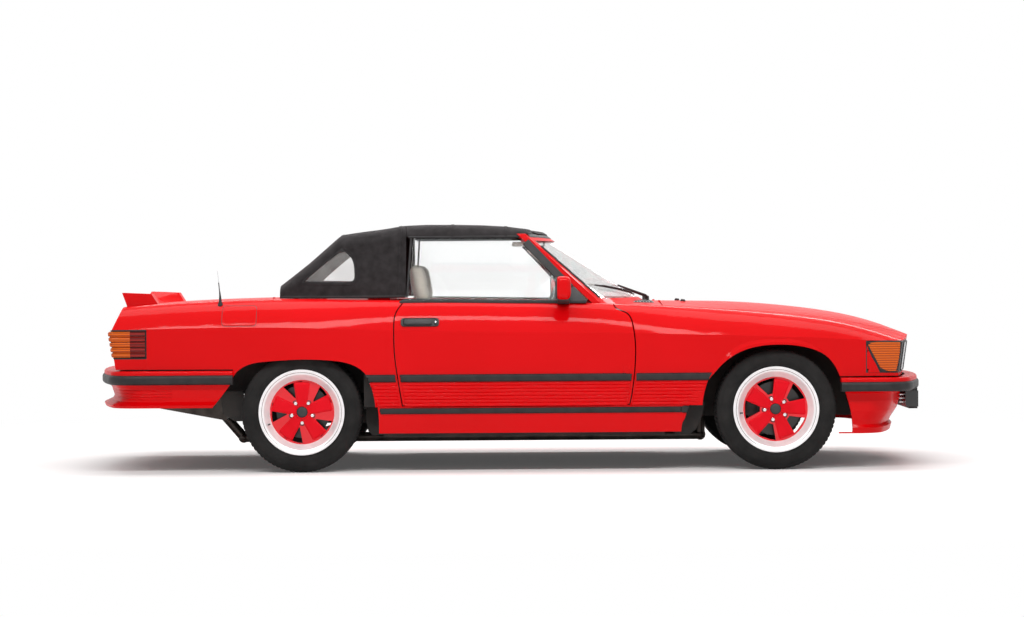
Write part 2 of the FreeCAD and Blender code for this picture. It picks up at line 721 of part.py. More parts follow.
def door():
    """Left door: a skin flange on a thick box, with the slots for its hinges."""
    whole = BODY.common(door_prism(S.shut_gap, DOOR_INNER_Y, OUTSIDE))
    thick = door_prism(S.shut_gap + S.door_flange, DOOR_INNER_Y - S.door_skin, 2 * OUTSIDE)
    rebate = body_form(S.door_skin).common(box(-BIG, BIG, wide(0.670), OUTSIDE, 0, BIG)).cut(thick)
    return largest(whole.cut(rebate))


def bumper_body(inset, z0, z1, hollow=True):
    """The bumpers' plan outline less an inset, as a band of the bumper's depth or as a block."""
    blocks = []
    for depth in (inset, inset + S.bumper_depth):
        wire = plan_wire(
            HALF_LENGTH - depth,
            -HALF_LENGTH + depth,
            HALF_WIDTH - depth,
            BUMPER_BOW,
            BUMPER_BOW,
            BUMPER_CORNER - depth / 2,
            BUMPER_CORNER - depth / 2,
            z0,
        )
        blocks.append(Part.Face(wire).extrude(vec(0, 0, z1 - z0)))
    return blocks[0].cut(blocks[1]) if hollow else blocks[0]


BUMPER_BOW = wide(0.132)
BUMPER_CORNER = wide(0.168)
FRONT_BUMPER_END = along(1.401)
REAR_BUMPER_END = along(-0.313)
CAP_INSET = wide(0.011)
CAP_ROUND = 0.6


def bumper_foot(top):
    """Height of a bumper's lower edge, from the height of the painted side above it."""
    return top - S.bumper_stand - S.bumper_cap - S.bumper_rubber


def outer_edges(shape, depth, z):
    """Edges of a bumper's band that lie on its outer outline at a height."""
    core = bumper_body(depth + S.bumper_depth / 2, z - S.shut_gap, z + S.shut_gap, False)
    found = []
    for edge in shape.Edges:
        middle = edge.valueAt((edge.FirstParameter + edge.LastParameter) / 2)
        level_edge = max(abs(v.Z - z) for v in edge.Vertexes) < S.running_gap
        if level_edge and abs(middle.z - z) < S.running_gap and not core.isInside(middle, CUT_OVERRUN, True):
            if edge.Length > 2 * S.bumper_depth:
                found.append(edge)
    return found


def bumper(top, x0, x1):
    """Rubber strip with the painted cap on top of it, rounded along its outer edges."""
    ends = box(x0, x1, -OUTSIDE, OUTSIDE, 0, BIG)
    low = bumper_foot(top)
    middle = low + S.bumper_rubber
    rubber = bumper_body(0, low, middle).common(ends)
    edges = outer_edges(rubber, 0, low) + outer_edges(rubber, 0, middle)
    rubber = rubber.makeFillet(S.bumper_round, edges)
    high = middle + S.bumper_cap
    cap = bumper_body(CAP_INSET, middle, high).common(ends)
    cap = cap.makeFillet(S.bumper_cap * CAP_ROUND, outer_edges(cap, CAP_INSET, high))
    return rubber, cap


# Height of each line round an apron, and how far it stands inside the bumper's outline.
FRONT_APRON_SHARES = [
    (1.701, 0.069), (1.671, 0.107), (1.528, 0.109), (1.346, 0.127), (1.171, 0.163),
    (1.094, 0.174), (1.045, 0.159), (0.910, 0.168),
]
REAR_APRON_SHARES = [
    (1.900, 0.038), (1.822, 0.054), (1.668, 0.069), (1.598, 0.058), (1.535, 0.011), (1.486, 0.018),
]


def apron(x0, x1, line_shares):
    """Lower skirt behind a bumper, through lines at different heights."""
    shells = []
    for wall in (0, S.apron_wall):
        wires = []
        for height, depth_share in line_shares:
            depth = wide(depth_share) + wall
            wires.append(
                plan_wire(
                    HALF_LENGTH - depth,
                    -HALF_LENGTH + depth,
                    HALF_WIDTH - S.arch_rim / 2 - depth / 2 - wall / 2,
                    BUMPER_BOW,
                    BUMPER_BOW,
                    BUMPER_CORNER,
                    BUMPER_CORNER,
                    level(height),
                )
            )
        shells.append(Part.makeLoft(wires, True, True))
    return shells[0].cut(shells[1]).common(box(x0, x1, -OUTSIDE, OUTSIDE, 0, BIG))


REAR_APRON_END_SHARES = [(-0.314, 1.958), (-0.417, 1.434), (-0.194, 1.434), (-0.194, 1.958)]


def aprons():
    """Front and rear skirt, open at the wheels, the rear one with slanted ends."""
    skins = [apron(along(1.393), BIG, FRONT_APRON_SHARES), apron(-BIG, along(-0.319), REAR_APRON_SHARES)]
    trimmed = []
    for skin, arch in zip(skins, (FRONT_ARCH_SHARES, REAR_ARCH_SHARES)):
        for side in (RIGHT, LEFT):
            skin = skin.cut(sided(arch_cut(arch, 0, OUTSIDE), side))
        trimmed.append(skin)
    trimmed[1] = trimmed[1].cut(side_prism(spots(REAR_APRON_END_SHARES), -OUTSIDE, OUTSIDE))
    return Part.makeCompound([largest(skin) for skin in trimmed])


def front_plate_pad():
    """Flat seat of the front number plate, hanging from the middle of the front rubber strip."""
    low = bumper_foot(FRONT_BUMPER_TOP)
    face = HALF_LENGTH - S.bumper_round
    back = HALF_LENGTH - S.bumper_depth
    top = low + S.bumper_rubber / 4
    return box(back, face, -PLATE_HALF_WIDTH, PLATE_HALF_WIDTH, low - PLATE_HEIGHT, top)


# Windscreen: its base and head lines, at the middle and at the outer edge of the frame.
SCREEN_BASE = level(3.980)
SCREEN_HEAD = level(4.862)
SCREEN_BASE_X = along(0.741)
SCREEN_HEAD_X = along(0.519)
PILLAR_BASE_X = along(0.631)
PILLAR_HEAD_X = along(0.472)
PILLAR_BASE_Y = wide(0.846)
PILLAR_HEAD_Y = wide(0.711)
FRAME_WIDTH = wide(0.047)
FRAME_DEPTH = wide(0.045)


def screen_slab(front, back, side_inset, low_share, high_share):
    """Part of the windscreen's bowed sheet, between two offsets from its front face."""
    wires = []
    for share in (low_share, high_share):
        z = SCREEN_BASE + share * (SCREEN_HEAD - SCREEN_BASE)
        middle_x = SCREEN_BASE_X + share * (SCREEN_HEAD_X - SCREEN_BASE_X)
        side_x = PILLAR_BASE_X + share * (PILLAR_HEAD_X - PILLAR_BASE_X)
        y = PILLAR_BASE_Y + share * (PILLAR_HEAD_Y - PILLAR_BASE_Y)
        bow = (middle_x - side_x) / y ** 2
        yi = y - side_inset
        xi = middle_x - bow * yi ** 2
        ends = []
        for offset in (front, back):
            left = vec(xi - offset, yi, z)
            right = vec(xi - offset, -yi, z)
            ends.append((left, vec(middle_x - offset, 0, z), right))
        outer = Part.Arc(*ends[0]).toShape()
        inner = Part.Arc(*reversed(ends[1])).toShape()
        sides = [Part.makeLine(ends[0][2], ends[1][2]), Part.makeLine(ends[1][0], ends[0][0])]
        wires.append(Part.Wire([outer, sides[0], inner, sides[1]]))
    return Part.makeLoft(wires, True, True)


HEAD_SHARE = 0.90
FOOT_SHARE = 0.065


def windscreen_frame():
    """Pillars, header and foot rail in one frame, with a rebate for the glass."""
    frame = screen_slab(0, FRAME_DEPTH, 0, -0.1, 1).cut(body_form(-S.running_gap))
    frame = frame.cut(screen_slab(-FRAME_DEPTH, 3 * FRAME_DEPTH, FRAME_WIDTH, FOOT_SHARE, HEAD_SHARE))
    rebate_depth = FRAME_DEPTH / 4 + S.glass_thickness
    grow = FRAME_WIDTH / 3
    slot = screen_slab(FRAME_DEPTH / 4, rebate_depth, FRAME_WIDTH - grow, FOOT_SHARE * 0.6, HEAD_SHARE + 0.02)
    return largest(frame.cut(slot))


def windscreen_glass():
    g = S.running_gap
    rebate_depth = FRAME_DEPTH / 4 + S.glass_thickness
    grow = FRAME_WIDTH / 3 - g
    glass = screen_slab(FRAME_DEPTH / 4 + g, rebate_depth - g, FRAME_WIDTH - grow, FOOT_SHARE * 0.6 + g / SCREEN_HEAD, HEAD_SHARE + 0.02 - g / SCREEN_HEAD)
    return largest(glass)


# Fabric top, along its middle: stretched straight over the rear bow and rounded to the front.
TOP_SHARES = [
    (-0.117, 4.177), (0.013, 4.527), (0.069, 4.816), (0.077, 4.857), (0.087, 4.878), (0.123, 4.912),
    (0.196, 4.976), (0.213, 4.988), (0.270, 4.998), (0.327, 5.000), (0.384, 4.990), (0.433, 4.971),
    (0.473, 4.943), (0.502, 4.912), (0.528, 4.876),
]
TOP_TAIL_X = along(TOP_SHARES[0][0])
TOP_HEAD_X = along(TOP_SHARES[-1][0])
EAVE_TAIL = wide(0.731)
EAVE_HEAD = wide(0.717)
FOOT_TAIL = wide(0.782)
FOOT_HEAD = wide(0.878)
TOP_FOOT = level(4.064)
EAVE_DROP = wide(0.103)


def top_section(step, inset):
    """Closed section of the fabric top at one of its steps."""
    x = along(TOP_SHARES[step][0])
    share = (x - TOP_TAIL_X) / (TOP_HEAD_X - TOP_TAIL_X)
    zc = level(TOP_SHARES[step][1]) - inset
    drop = min(EAVE_DROP, 0.75 * (zc - TOP_FOOT + inset))
    ze = zc - drop
    rise = (ze - TOP_FOOT) / (level(5) - EAVE_DROP - TOP_FOOT)
    foot_y = FOOT_TAIL + share * (FOOT_HEAD - FOOT_TAIL)
    eave_y = EAVE_TAIL + share * (EAVE_HEAD - EAVE_TAIL)
    yf = foot_y - inset
    ye = foot_y + rise * (eave_y - foot_y) - inset
    foot = TOP_FOOT - (S.fabric_thickness if inset else 0)
    half = [
        (ye, ze),
        (ye - 0.10 * drop, ze + 0.40 * drop),
        (ye - 0.42 * drop, ze + 0.70 * drop),
        (0.66 * ye, ze + 0.91 * drop),
        (0.33 * ye, ze + 0.98 * drop),
    ]
    crown = [vec(x, y, z) for y, z in half] + [vec(x, 0, zc)]
    crown += [vec(x, -y, z) for y, z in reversed(half)]
    left = Part.makeLine(vec(x, yf, foot), crown[0])
    right = Part.makeLine(crown[-1], vec(x, -yf, foot))
    floor = Part.makeLine(vec(x, -yf, foot), vec(x, yf, foot))
    return Part.Wire([left, spline(crown), right, floor])


@functools.cache
def top_form(inset=0):
    sections = [top_section(step, inset) for step in range(len(TOP_SHARES))]
    return Part.makeLoft(sections, True, True)


SIDE_OPENING_SHARES = [(0.229, 4.831), (0.220, 4.043), (0.220, 2.906), (0.807, 2.906), (0.807, 4.831)]
QUARTER_WINDOW_SHARES = [
    (-0.003, 4.272), (0.037, 4.470), (0.082, 4.685), (0.099, 4.618), (0.110, 4.511), (0.112, 4.329),
    (0.106, 4.270), (0.090, 4.258),
]
HEADER_LAP = wide(0.016)


def soft_top():
    """Fabric skin over its bows, open at the doors, the quarter windows and the rear window."""
    shell = top_form().cut(top_form(S.fabric_thickness))
    shell = shell.common(box(TOP_TAIL_X + S.fabric_thickness, TOP_HEAD_X, -BIG, BIG, 0, BIG))
    shell = shell.cut(screen_slab(-BIG / 4, -HEADER_LAP, -2 * FRAME_DEPTH, 0.7, 1.3))
    shell = shell.cut(side_prism(spots(SIDE_OPENING_SHARES), -OUTSIDE, OUTSIDE))
    for side_inset in (-FRAME_DEPTH, 0):
        shell = shell.cut(screen_slab(-3 * FRAME_DEPTH, FRAME_DEPTH + S.running_gap, side_inset, -0.1, 1.0))
    for side in (RIGHT, LEFT):
        shell = shell.cut(sided(quarter_window_prism(0), side))
    shell = shell.cut(rear_window_prism(0))
    return largest(shell.cut(body_form(-S.running_gap)))


def quarter_window_prism(inset):
    points = spots(QUARTER_WINDOW_SHARES)
    return smooth_prism([points[:3], points[2:], [points[-1], points[0]]], wide(0.559), OUTSIDE, inset)


REAR_WINDOW_SHARES = [(0.581, 4.189), (0.559, 4.594), (-0.559, 4.594), (-0.581, 4.189)]


def rear_window_prism(inset):
    corners = [(wide(a), level(b)) for a, b in REAR_WINDOW_SHARES]
    points = [vec(0, y, z) for y, z in inset_outline(corners, inset)]
    return Part.Face(polygon(points)).extrude(vec(-BIG, 0, 0))


def top_windows():
    """The clear panes of the fabric top: the rear one and the two at the quarters."""
    clear = top_form(S.fabric_thickness / 4).cut(top_form(S.fabric_thickness * 3 / 4))
    gap = S.running_gap
    panes = [largest(clear.common(rear_window_prism(gap)))]
    for side in (RIGHT, LEFT):
        panes.append(largest(clear.common(sided(quarter_window_prism(gap), side))))
    return Part.makeCompound(panes)


# Side glass: front, rear and top edges of the raised pane.
GLASS_SHARES = [
    (0.615, 3.523), (0.457, 4.800), (0.235, 4.804), (0.225, 4.043), (0.225, 3.523),
]
GLASS_BASE_Y = wide(0.894)
GLASS_LEAN_Y = wide(0.732)


def door_glass():
    """Left side glass, raised, leaning in towards the fabric top."""
    low = level(4)
    high = level(4.821)
    slope = (GLASS_LEAN_Y - GLASS_BASE_Y) / (high - low)
    foot = level(3.389)
    head = level(4.905)
    yf = GLASS_BASE_Y + slope * (foot - low)
    yh = GLASS_BASE_Y + slope * (head - low)
    t = S.glass_thickness
    sheet_outline = [(yf, foot), (yh, head), (yh - t, head), (yf - t, foot)]
    pane = end_prism(sheet_outline, -HALF_LENGTH, HALF_LENGTH)
    return largest(pane.common(side_prism(spots(GLASS_SHARES), 0, OUTSIDE)))


ALIASES = {alias for alias, _, _ in DRIVING + DERIVED}


def bound(text):
    """An expression in which each alias is read from the sheet."""
    return re.sub(r"[a-z]\w*", lambda m: f"Sizes.{m[0]}" if m[0] in ALIASES else m[0], text)


def new_body(label):
    body = doc.addObject("PartDesign::Body", label)
    body.Label = label
    return body


def bound_sketch(body, name, role, outline):
    """A closed sketch of straight sides whose corners follow expressions of the sheet."""
    sketch = body.newObject("Sketcher::SketchObject", name)
    plane = next(item for item in body.Origin.OriginFeatures if item.Role == role)
    sketch.AttachmentSupport = (plane, "")
    sketch.MapMode = "FlatFace"
    texts = [(bound(a), bound(b)) for a, b in outline]
    values = [[float(sketch.evalExpression(text)) for text in corner] for corner in texts]
    count = len(outline)
    for i in range(count):
        sketch.addGeometry(Part.LineSegment(vec(*values[i], 0), vec(*values[(i + 1) % count], 0)))
    for i in range(count):
        sketch.addConstraint(Sketcher.Constraint("Coincident", i, 2, (i + 1) % count, 1))
    for i in range(count):
        for kind, value, text in zip(("DistanceX", "DistanceY"), values[i], texts[i]):
            index = sketch.addConstraint(Sketcher.Constraint(kind, -1, 1, i, 1, value))
            sketch.setExpression(f"Constraints[{index}]", text)
    return sketch


def rectangle(x0, x1, y0, y1):
    return [(x0, y0), (x1, y0), (x1, y1), (x0, y1)]


def revolution(body, sketch):
    turned = body.newObject("PartDesign::Revolution", f"{sketch.Name}_turned")
    turned.Profile = sketch
    turned.ReferenceAxis = (sketch, ["V_Axis"])
    turned.Angle = 360
    return turned


def pad(body, sketch, length, midplane=True):
    raised = body.newObject("PartDesign::Pad", f"{sketch.Name}_raised")
    raised.Profile = sketch
    raised.setExpression("Length", bound(length))
    raised.Midplane = midplane
    return raised


def place(body, x, y, z, turn=0):
    """Binds a body's place to expressions, turned about Z by a number of degrees."""
    body.Placement = Placement(vec(0, 0, 0), Rotation(vec(0, 0, 1), turn))
    for axis, text in zip("xyz", (x, y, z)):
        body.setExpression(f"Placement.Base.{axis}", bound(text))
    parts.append(body)


def place_at_wheel(body, axle, side):
    """Sets a body built about the Y axis, its outer face towards +Y, at one of the wheels."""
    sign = "" if side == LEFT else "-"
    place(body, axle, f"{sign}track / 2", "tyre_radius", 0 if side == LEFT else 180)


TYRE_OUTLINE = [
    ("seat_radius + running_gap", "rim_width / 2 - flange_width - running_gap"),
    ("rim_radius + tyre_wall / 2", "rim_width / 2 - flange_width - running_gap"),
    ("rim_radius + tyre_wall * 1.5", "tyre_width / 2 - tyre_wall / 3"),
    ("(rim_radius + tyre_radius) / 2", "tyre_width / 2"),
    ("tyre_radius - tyre_wall * 1.7", "tyre_width / 2 - tyre_wall / 3"),
    ("tyre_radius - tyre_wall / 2", "(tyre_width + tread_width) / 4"),
    ("tyre_radius", "tread_width / 2"),
]
TYRE_INSIDE = [
    ("seat_radius + running_gap", "rim_width / 2 - flange_width - seat_width + running_gap"),
    ("rim_radius + tyre_wall", "rim_width / 2 - flange_width - seat_width / 2"),
    ("(rim_radius + tyre_radius) / 2", "tyre_width / 2 - tyre_wall"),
    ("tyre_radius - tyre_wall", "tread_width / 2 - tyre_wall"),
]


def both_ways(outline):
    """An outline and its mirror image across the wheel's centre plane."""
    return outline + [(a, f"-({b})") for a, b in reversed(outline)]


def tyre(label, axle, side):
    body = new_body(label)
    outline = both_ways(TYRE_OUTLINE) + both_ways(TYRE_INSIDE)[::-1]
    revolution(body, bound_sketch(body, f"{label}_section", "XY_Plane", outline))
    place_at_wheel(body, axle, side)


# The wheel's half section from the hub's front, over the lip and the barrel, back to the hub.
FACE_FRONT = "rim_width / 2 - face_setback"
FACE_BACK = "rim_width / 2 - face_setback - spoke_thickness"
WHEEL_OUTLINE = [
    ("0", FACE_FRONT),
    ("face_radius", FACE_FRONT),
    ("seat_radius - rim_wall", "rim_width / 2 - flange_width"),
    ("rim_radius - flange_width", "rim_width / 2"),
    ("rim_radius", "rim_width / 2"),
    ("rim_radius", "rim_width / 2 - flange_width"),
    ("seat_radius", "rim_width / 2 - flange_width"),
    ("seat_radius", "rim_width / 2 - flange_width - seat_width"),
    ("well_radius", "rim_width / 2 - flange_width - 1.5 * seat_width"),
    ("well_radius", "-(rim_width / 2 - flange_width - 1.5 * seat_width)"),
    ("seat_radius", "-(rim_width / 2 - flange_width - seat_width)"),
    ("seat_radius", "-(rim_width / 2 - flange_width)"),
    ("rim_radius", "-(rim_width / 2 - flange_width)"),
    ("rim_radius", "-rim_width / 2"),
    ("seat_radius - rim_wall", "-rim_width / 2"),
    ("seat_radius - rim_wall", "-(rim_width / 2 - flange_width - seat_width)"),
    ("well_radius - rim_wall", "-(rim_width / 2 - flange_width - 1.5 * seat_width)"),
    ("well_radius - rim_wall", FACE_BACK),
    ("hub_radius", FACE_BACK),
    ("hub_radius", "-disc_inset"),
    ("disc_radius", "-disc_inset"),
    ("disc_radius", "-disc_inset - disc_thickness"),
    ("hub_radius", "-disc_inset - disc_thickness"),
    ("stub_radius * 2", "-hub_depth"),
    ("stub_radius + running_gap", "-hub_depth"),
    ("stub_radius + running_gap", "rim_width / 2 - face_setback - spoke_thickness"),
    ("0", "rim_width / 2 - face_setback - spoke_thickness"),
]
WINDOW_OUTLINE = [
    ("window_inner", "-window_foot / 2"),
    ("window_outer * 0.97", "-window_mouth / 2"),
    ("window_outer", "-window_mouth / 4"),
    ("window_outer", "window_mouth / 4"),
    ("window_outer * 0.97", "window_mouth / 2"),
    ("window_inner", "window_foot / 2"),
]


def wheel(label, axle, side):
    """Alloy wheel with its five windows, on its hub and brake disc."""
    body = new_body(label)
    revolution(body, bound_sketch(body, f"{label}_section", "XY_Plane", WHEEL_OUTLINE))
    window = bound_sketch(body, f"{label}_window", "XZ_Plane", WINDOW_OUTLINE)
    opening = body.newObject("PartDesign::Pocket", f"{label}_opening")
    opening.Profile = window
    opening.setExpression("Length", bound("rim_width"))
    pattern = body.newObject("PartDesign::PolarPattern", f"{label}_openings")
    pattern.Originals = [opening]
    pattern.Axis = (window, ["N_Axis"])
    pattern.Angle = 360
    pattern.Occurrences = 5
    body.Tip = pattern
    place_at_wheel(body, axle, side)
    return body


CORNERS = [("front", "front_axle"), ("rear", "rear_axle")]
SIDES = [("right", RIGHT), ("left", LEFT)]


def wheels():
    for end, axle in CORNERS:
        for name, side in SIDES:
            tyre(f"tyre_{end}_{name}", axle, side)
            wheel(f"wheel_{end}_{name}", axle, side)


def along_y(x, z, radius, y0, y1):
    return rod(vec(x, min(y0, y1), z), vec(x, max(y0, y1), z), radius)


HUB_FACE = S.hub_depth + S.shut_gap
KNUCKLE_HALF = S.knuckle_height / 2


def knuckle():
    """Left front knuckle: upright, stub axle, steering arm and brake caliper."""
    y1 = WHEEL_Y - HUB_FACE
    y0 = y1 - S.knuckle_thickness
    x, z, w = FRONT_AXLE, S.tyre_radius, S.knuckle_width / 2
    upright = box(x - w, x + w, y0, y1, z - KNUCKLE_HALF, z + KNUCKLE_HALF)
    stub_end = WHEEL_Y + S.rim_width / 2 - S.face_setback - S.spoke_thickness - S.running_gap
    stub = along_y(x, z, S.stub_radius, y0, stub_end)
    arm = box(x - 2 * S.hub_radius, x, y0, y0 + S.knuckle_thickness / 2, z - S.hub_radius, z - S.stub_radius)
    reach = S.disc_radius + S.rim_wall
    caliper = box(x - reach, x - S.hub_radius * 1.2, y0 + S.rim_wall, WHEEL_Y + S.mount_offset, z - w, z + w)
    caliper = caliper.common(along_y(x, z, S.well_radius - S.rim_wall - 2 * S.shut_gap, y0, WHEEL_Y + S.mount_offset))
    slot0 = WHEEL_Y - S.disc_inset - S.disc_thickness - S.shut_gap
    slot1 = WHEEL_Y - S.disc_inset + S.shut_gap
    caliper = caliper.cut(along_y(x, z, S.disc_radius + S.shut_gap, slot0, slot1))
    bracket = box(x - reach, x, y0 + S.rim_wall, y1, z - w / 2, z + w / 2)
    bracket = bracket.common(along_y(x, z, S.well_radius - S.rim_wall - 2 * S.shut_gap, y0, y1))
    whole = fused([upright, stub, arm, caliper, bracket])
    bore = S.stub_radius / 2 + S.running_gap
    for z0, z1 in ((0, z - KNUCKLE_HALF + S.hub_radius / 2), (z + KNUCKLE_HALF - S.hub_radius / 2, BIG)):
        whole = whole.cut(rod(vec(x, KINGPIN_Y, z0), vec(x, KINGPIN_Y, z1), bore))
    return largest(whole)


INNER_WING_Y = wide(0.480)
ARM_THICKNESS = wide(0.022)
TOWER_Y = INNER_WING_Y - S.floor_thickness
BUMPER_IRON_Y = wide(0.369)
BUMPER_IRON_Z = level(1.801)
BEAM_TOP = level(1.178)


def upper_arm(side, gap):
    """Upper arm from the tower inside the inner wing out to the knuckle, grown by a gap."""
    w = S.knuckle_width / 2.5 + gap
    z = S.tyre_radius + KNUCKLE_HALF + S.shut_gap
    inner = side * (TOWER_Y - ARM_THICKNESS)
    outer = side * KINGPIN_Y
    return box(FRONT_AXLE - w, FRONT_AXLE + w, inner, outer, z - gap, z + ARM_THICKNESS + gap)


def front_suspension():
    """Subframe crossbeam with the lower and upper arms and the kingpins of both sides."""
    x, z = FRONT_AXLE, S.tyre_radius
    w = S.knuckle_width / 2.5
    beam = box(x - S.knuckle_width, x + S.knuckle_width, -TOWER_Y, TOWER_Y, BEAM_TOP - wide(0.094), BEAM_TOP)
    pieces = [beam]
    pin = S.stub_radius / 2
    pin_depth = S.hub_radius / 2 - S.shut_gap
    for side in (RIGHT, LEFT):
        end = side * KINGPIN_Y
        low = z - KNUCKLE_HALF - S.shut_gap
        high = z + KNUCKLE_HALF + S.shut_gap
        pieces.append(box(x - w, x + w, 0, end, low - ARM_THICKNESS, low))
        pieces.append(upper_arm(side, 0))
        pieces.append(box(x - w, x + w, side * (TOWER_Y - ARM_THICKNESS), side * TOWER_Y, BEAM_TOP - ARM_THICKNESS, high + ARM_THICKNESS))
        y = side * KINGPIN_Y
        pieces.append(rod(vec(x, y, low - ARM_THICKNESS), vec(x, y, low + S.shut_gap + pin_depth), pin))
        pieces.append(rod(vec(x, y, high - S.shut_gap - pin_depth), vec(x, y, high + ARM_THICKNESS), pin))
        pieces.append(rod(vec(x, y, low - ARM_THICKNESS), vec(x, y, low), S.stub_radius))
        pieces.append(rod(vec(x, y, high), vec(x, y, high + ARM_THICKNESS), S.stub_radius))
    return fused(pieces)


def rear_suspension():
    """Differential, axle tube, trailing arms and the rear stub axles."""
    x, z = REAR_AXLE, S.tyre_radius
    arm_half = S.knuckle_width / 2
    beam_end = WHEEL_Y - HUB_FACE
    pieces = [
        along_y(x, z, S.stub_radius * 2, -beam_end, beam_end),
        box(x - S.disc_radius, x + S.disc_radius, -S.disc_radius, S.disc_radius, z - S.disc_radius / 1.6, z + S.disc_radius / 1.6),
    ]
    stub_end = WHEEL_Y + S.rim_width / 2 - S.face_setback - S.spoke_thickness - S.running_gap
    pieces.append(along_y(x, z, S.stub_radius, -stub_end, stub_end))
    for side in (RIGHT, LEFT):
        inner = side * wide(0.536)
        outer = side * wide(0.615)
        pieces.append(box(x - arm_half, along(0.180) - S.floor_thickness, inner, outer, z - arm_half * 2, z))
    return fused(pieces)


FLOOR_TOP = S.sill_height
FLOOR_BOTTOM = S.sill_height - S.floor_thickness
TUNNEL_HALF = wide(0.156)
TUNNEL_TOP = level(1.696)
SHELL_SIDE = wide(0.894) - 2 * S.running_gap


def body_shell():
    """Floor, tunnel, bulkheads, posts, inner wings and boot of the welded body."""
    t = S.floor_thickness
    hw = TUNNEL_HALF
    pieces = [
        box(along(0.180), along(0.767), -SHELL_SIDE, SHELL_SIDE, FLOOR_BOTTOM, FLOOR_TOP),
        box(along(0.180), along(0.767), -hw, hw, FLOOR_BOTTOM, TUNNEL_TOP),
        box(along(0.767), along(0.767) - t, -SHELL_SIDE, SHELL_SIDE, FLOOR_BOTTOM, level(3.523)),
        box(along(0.180) - t, along(0.180), -SHELL_SIDE, SHELL_SIDE, FLOOR_BOTTOM, level(3.523)),
        box(along(-0.746), along(0.180), -wide(0.659), wide(0.659), level(1.696), level(1.696) + t),
        box(along(-0.746), along(-0.746) + t, -wide(0.659), wide(0.659), level(1.696), level(2.991)),
        box(along(1.694), along(1.694) + t, -wide(0.480), wide(0.480), level(1.346), level(1.941)),
    ]
    iron = box(along(1.694), BIG, BUMPER_IRON_Y - t, BUMPER_IRON_Y + t, BUMPER_IRON_Z - t / 2, BUMPER_IRON_Z + t / 2)
    iron = largest(iron.common(bumper_body(S.bumper_depth + S.running_gap, BUMPER_IRON_Z - t, BUMPER_IRON_Z + t, False)))
    pieces += [iron, mirrored(iron)]
    for side in (RIGHT, LEFT):
        outer = side * SHELL_SIDE
        pieces += [
            box(along(0.180), along(0.767), outer, outer - side * t * 4, FLOOR_BOTTOM, SILL_TOP),
            box(along(0.711), along(0.767), outer, outer - side * t * 4, SILL_TOP, level(3.523)),
            box(along(0.180), along(0.131), outer, outer - side * t * 4, SILL_TOP, level(3.792)),
            box(along(0.767), along(1.715), side * INNER_WING_Y, side * (INNER_WING_Y - t), level(1.206), level(2.898)),
            box(along(-0.746), along(0.180), side * wide(0.659), side * (wide(0.659) - t), level(1.696), level(3.926)),
        ]
    shell = fused(pieces)
    shell = shell.cut(box(along(0.180) - 2 * t, along(0.767) + t, -hw + t, hw - t, 0, TUNNEL_TOP - t))
    shell = shell.common(body_form(S.panel_wall + 2 * S.shut_gap).fuse(box(-BIG, BIG, -SHELL_SIDE, SHELL_SIDE, 0, S.shoulder_height)))
    for side in (RIGHT, LEFT):
        shell = shell.cut(door_opening(side))
        shell = shell.cut(upper_arm(side, S.shut_gap))
    return shell.Solids[0] if len(shell.Solids) == 1 else shell


def door_opening(side):
    return sided(door_prism(-CUT_OVERRUN, DOOR_INNER_Y - S.shut_gap, 2 * OUTSIDE), side)


# Side profile of a seat's cushion and backrest, and of its headrest.
SEAT_SHARES = [
    (0.528, 1.346), (0.535, 1.766), (0.524, 1.913), (0.376, 1.836), (0.288, 3.859), (0.272, 4.050),
    (0.249, 4.033), (0.242, 3.792), (0.314, 1.556), (0.323, 1.346),
]
HEADREST_SHARES = [
    (0.268, 4.053), (0.257, 4.284), (0.247, 4.470), (0.229, 4.480), (0.219, 4.308), (0.229, 4.036),
    (0.245, 3.926), (0.276, 3.926),
]
SEAT_Y = wide(0.422)
SEAT_HALF = wide(0.253)
HEADREST_HALF = wide(0.140)


def seat():
    """Left seat: padded cushion, backrest and headrest on a plain base."""
    body = side_prism(spots(SEAT_SHARES), SEAT_Y - SEAT_HALF, SEAT_Y + SEAT_HALF)
    head = side_prism(spots(HEADREST_SHARES), SEAT_Y - HEADREST_HALF, SEAT_Y + HEADREST_HALF)
    base = box(along(0.347), along(0.506), SEAT_Y - HEADREST_HALF, SEAT_Y + HEADREST_HALF, FLOOR_TOP + S.running_gap, level(1.381))
    return fused([body, head, base])


DASH_SHARES = [
    (0.700, 2.311), (0.632, 2.311), (0.614, 2.481), (0.606, 2.906), (0.612, 3.423), (0.626, 3.658),
    (0.653, 3.691), (0.700, 3.691),
]
DASH_HALF = wide(0.813)
WHEEL_CENTRE = (along(0.514), wide(0.413), level(3.255))
COLUMN_LEAN = 24


def dashboard():
    """Dashboard with its instrument hood, the steering column's shroud and the centre console."""
    face = side_prism(spots(DASH_SHARES), -DASH_HALF, DASH_HALF)
    x, y, z = WHEEL_CENTRE
    lean = math.radians(COLUMN_LEAN)
    axis = vec(math.cos(lean), 0, -math.sin(lean))
    start = vec(x, y, z) + axis * (S.steering_rim + S.shut_gap)
    end = vec(x, y, z) + axis * (along(0.632) - along(0.514))
    column = rod(start, end, S.column_radius)
    shaft = rod(vec(x, y, z), end, S.shaft_radius)
    stay = box(along(0.693), along(0.767) - S.floor_thickness - S.running_gap, -LID_HINGE_Y, LID_HINGE_Y, level(2.481), level(2.694))
    return fused([face, column, shaft, stay, console()])


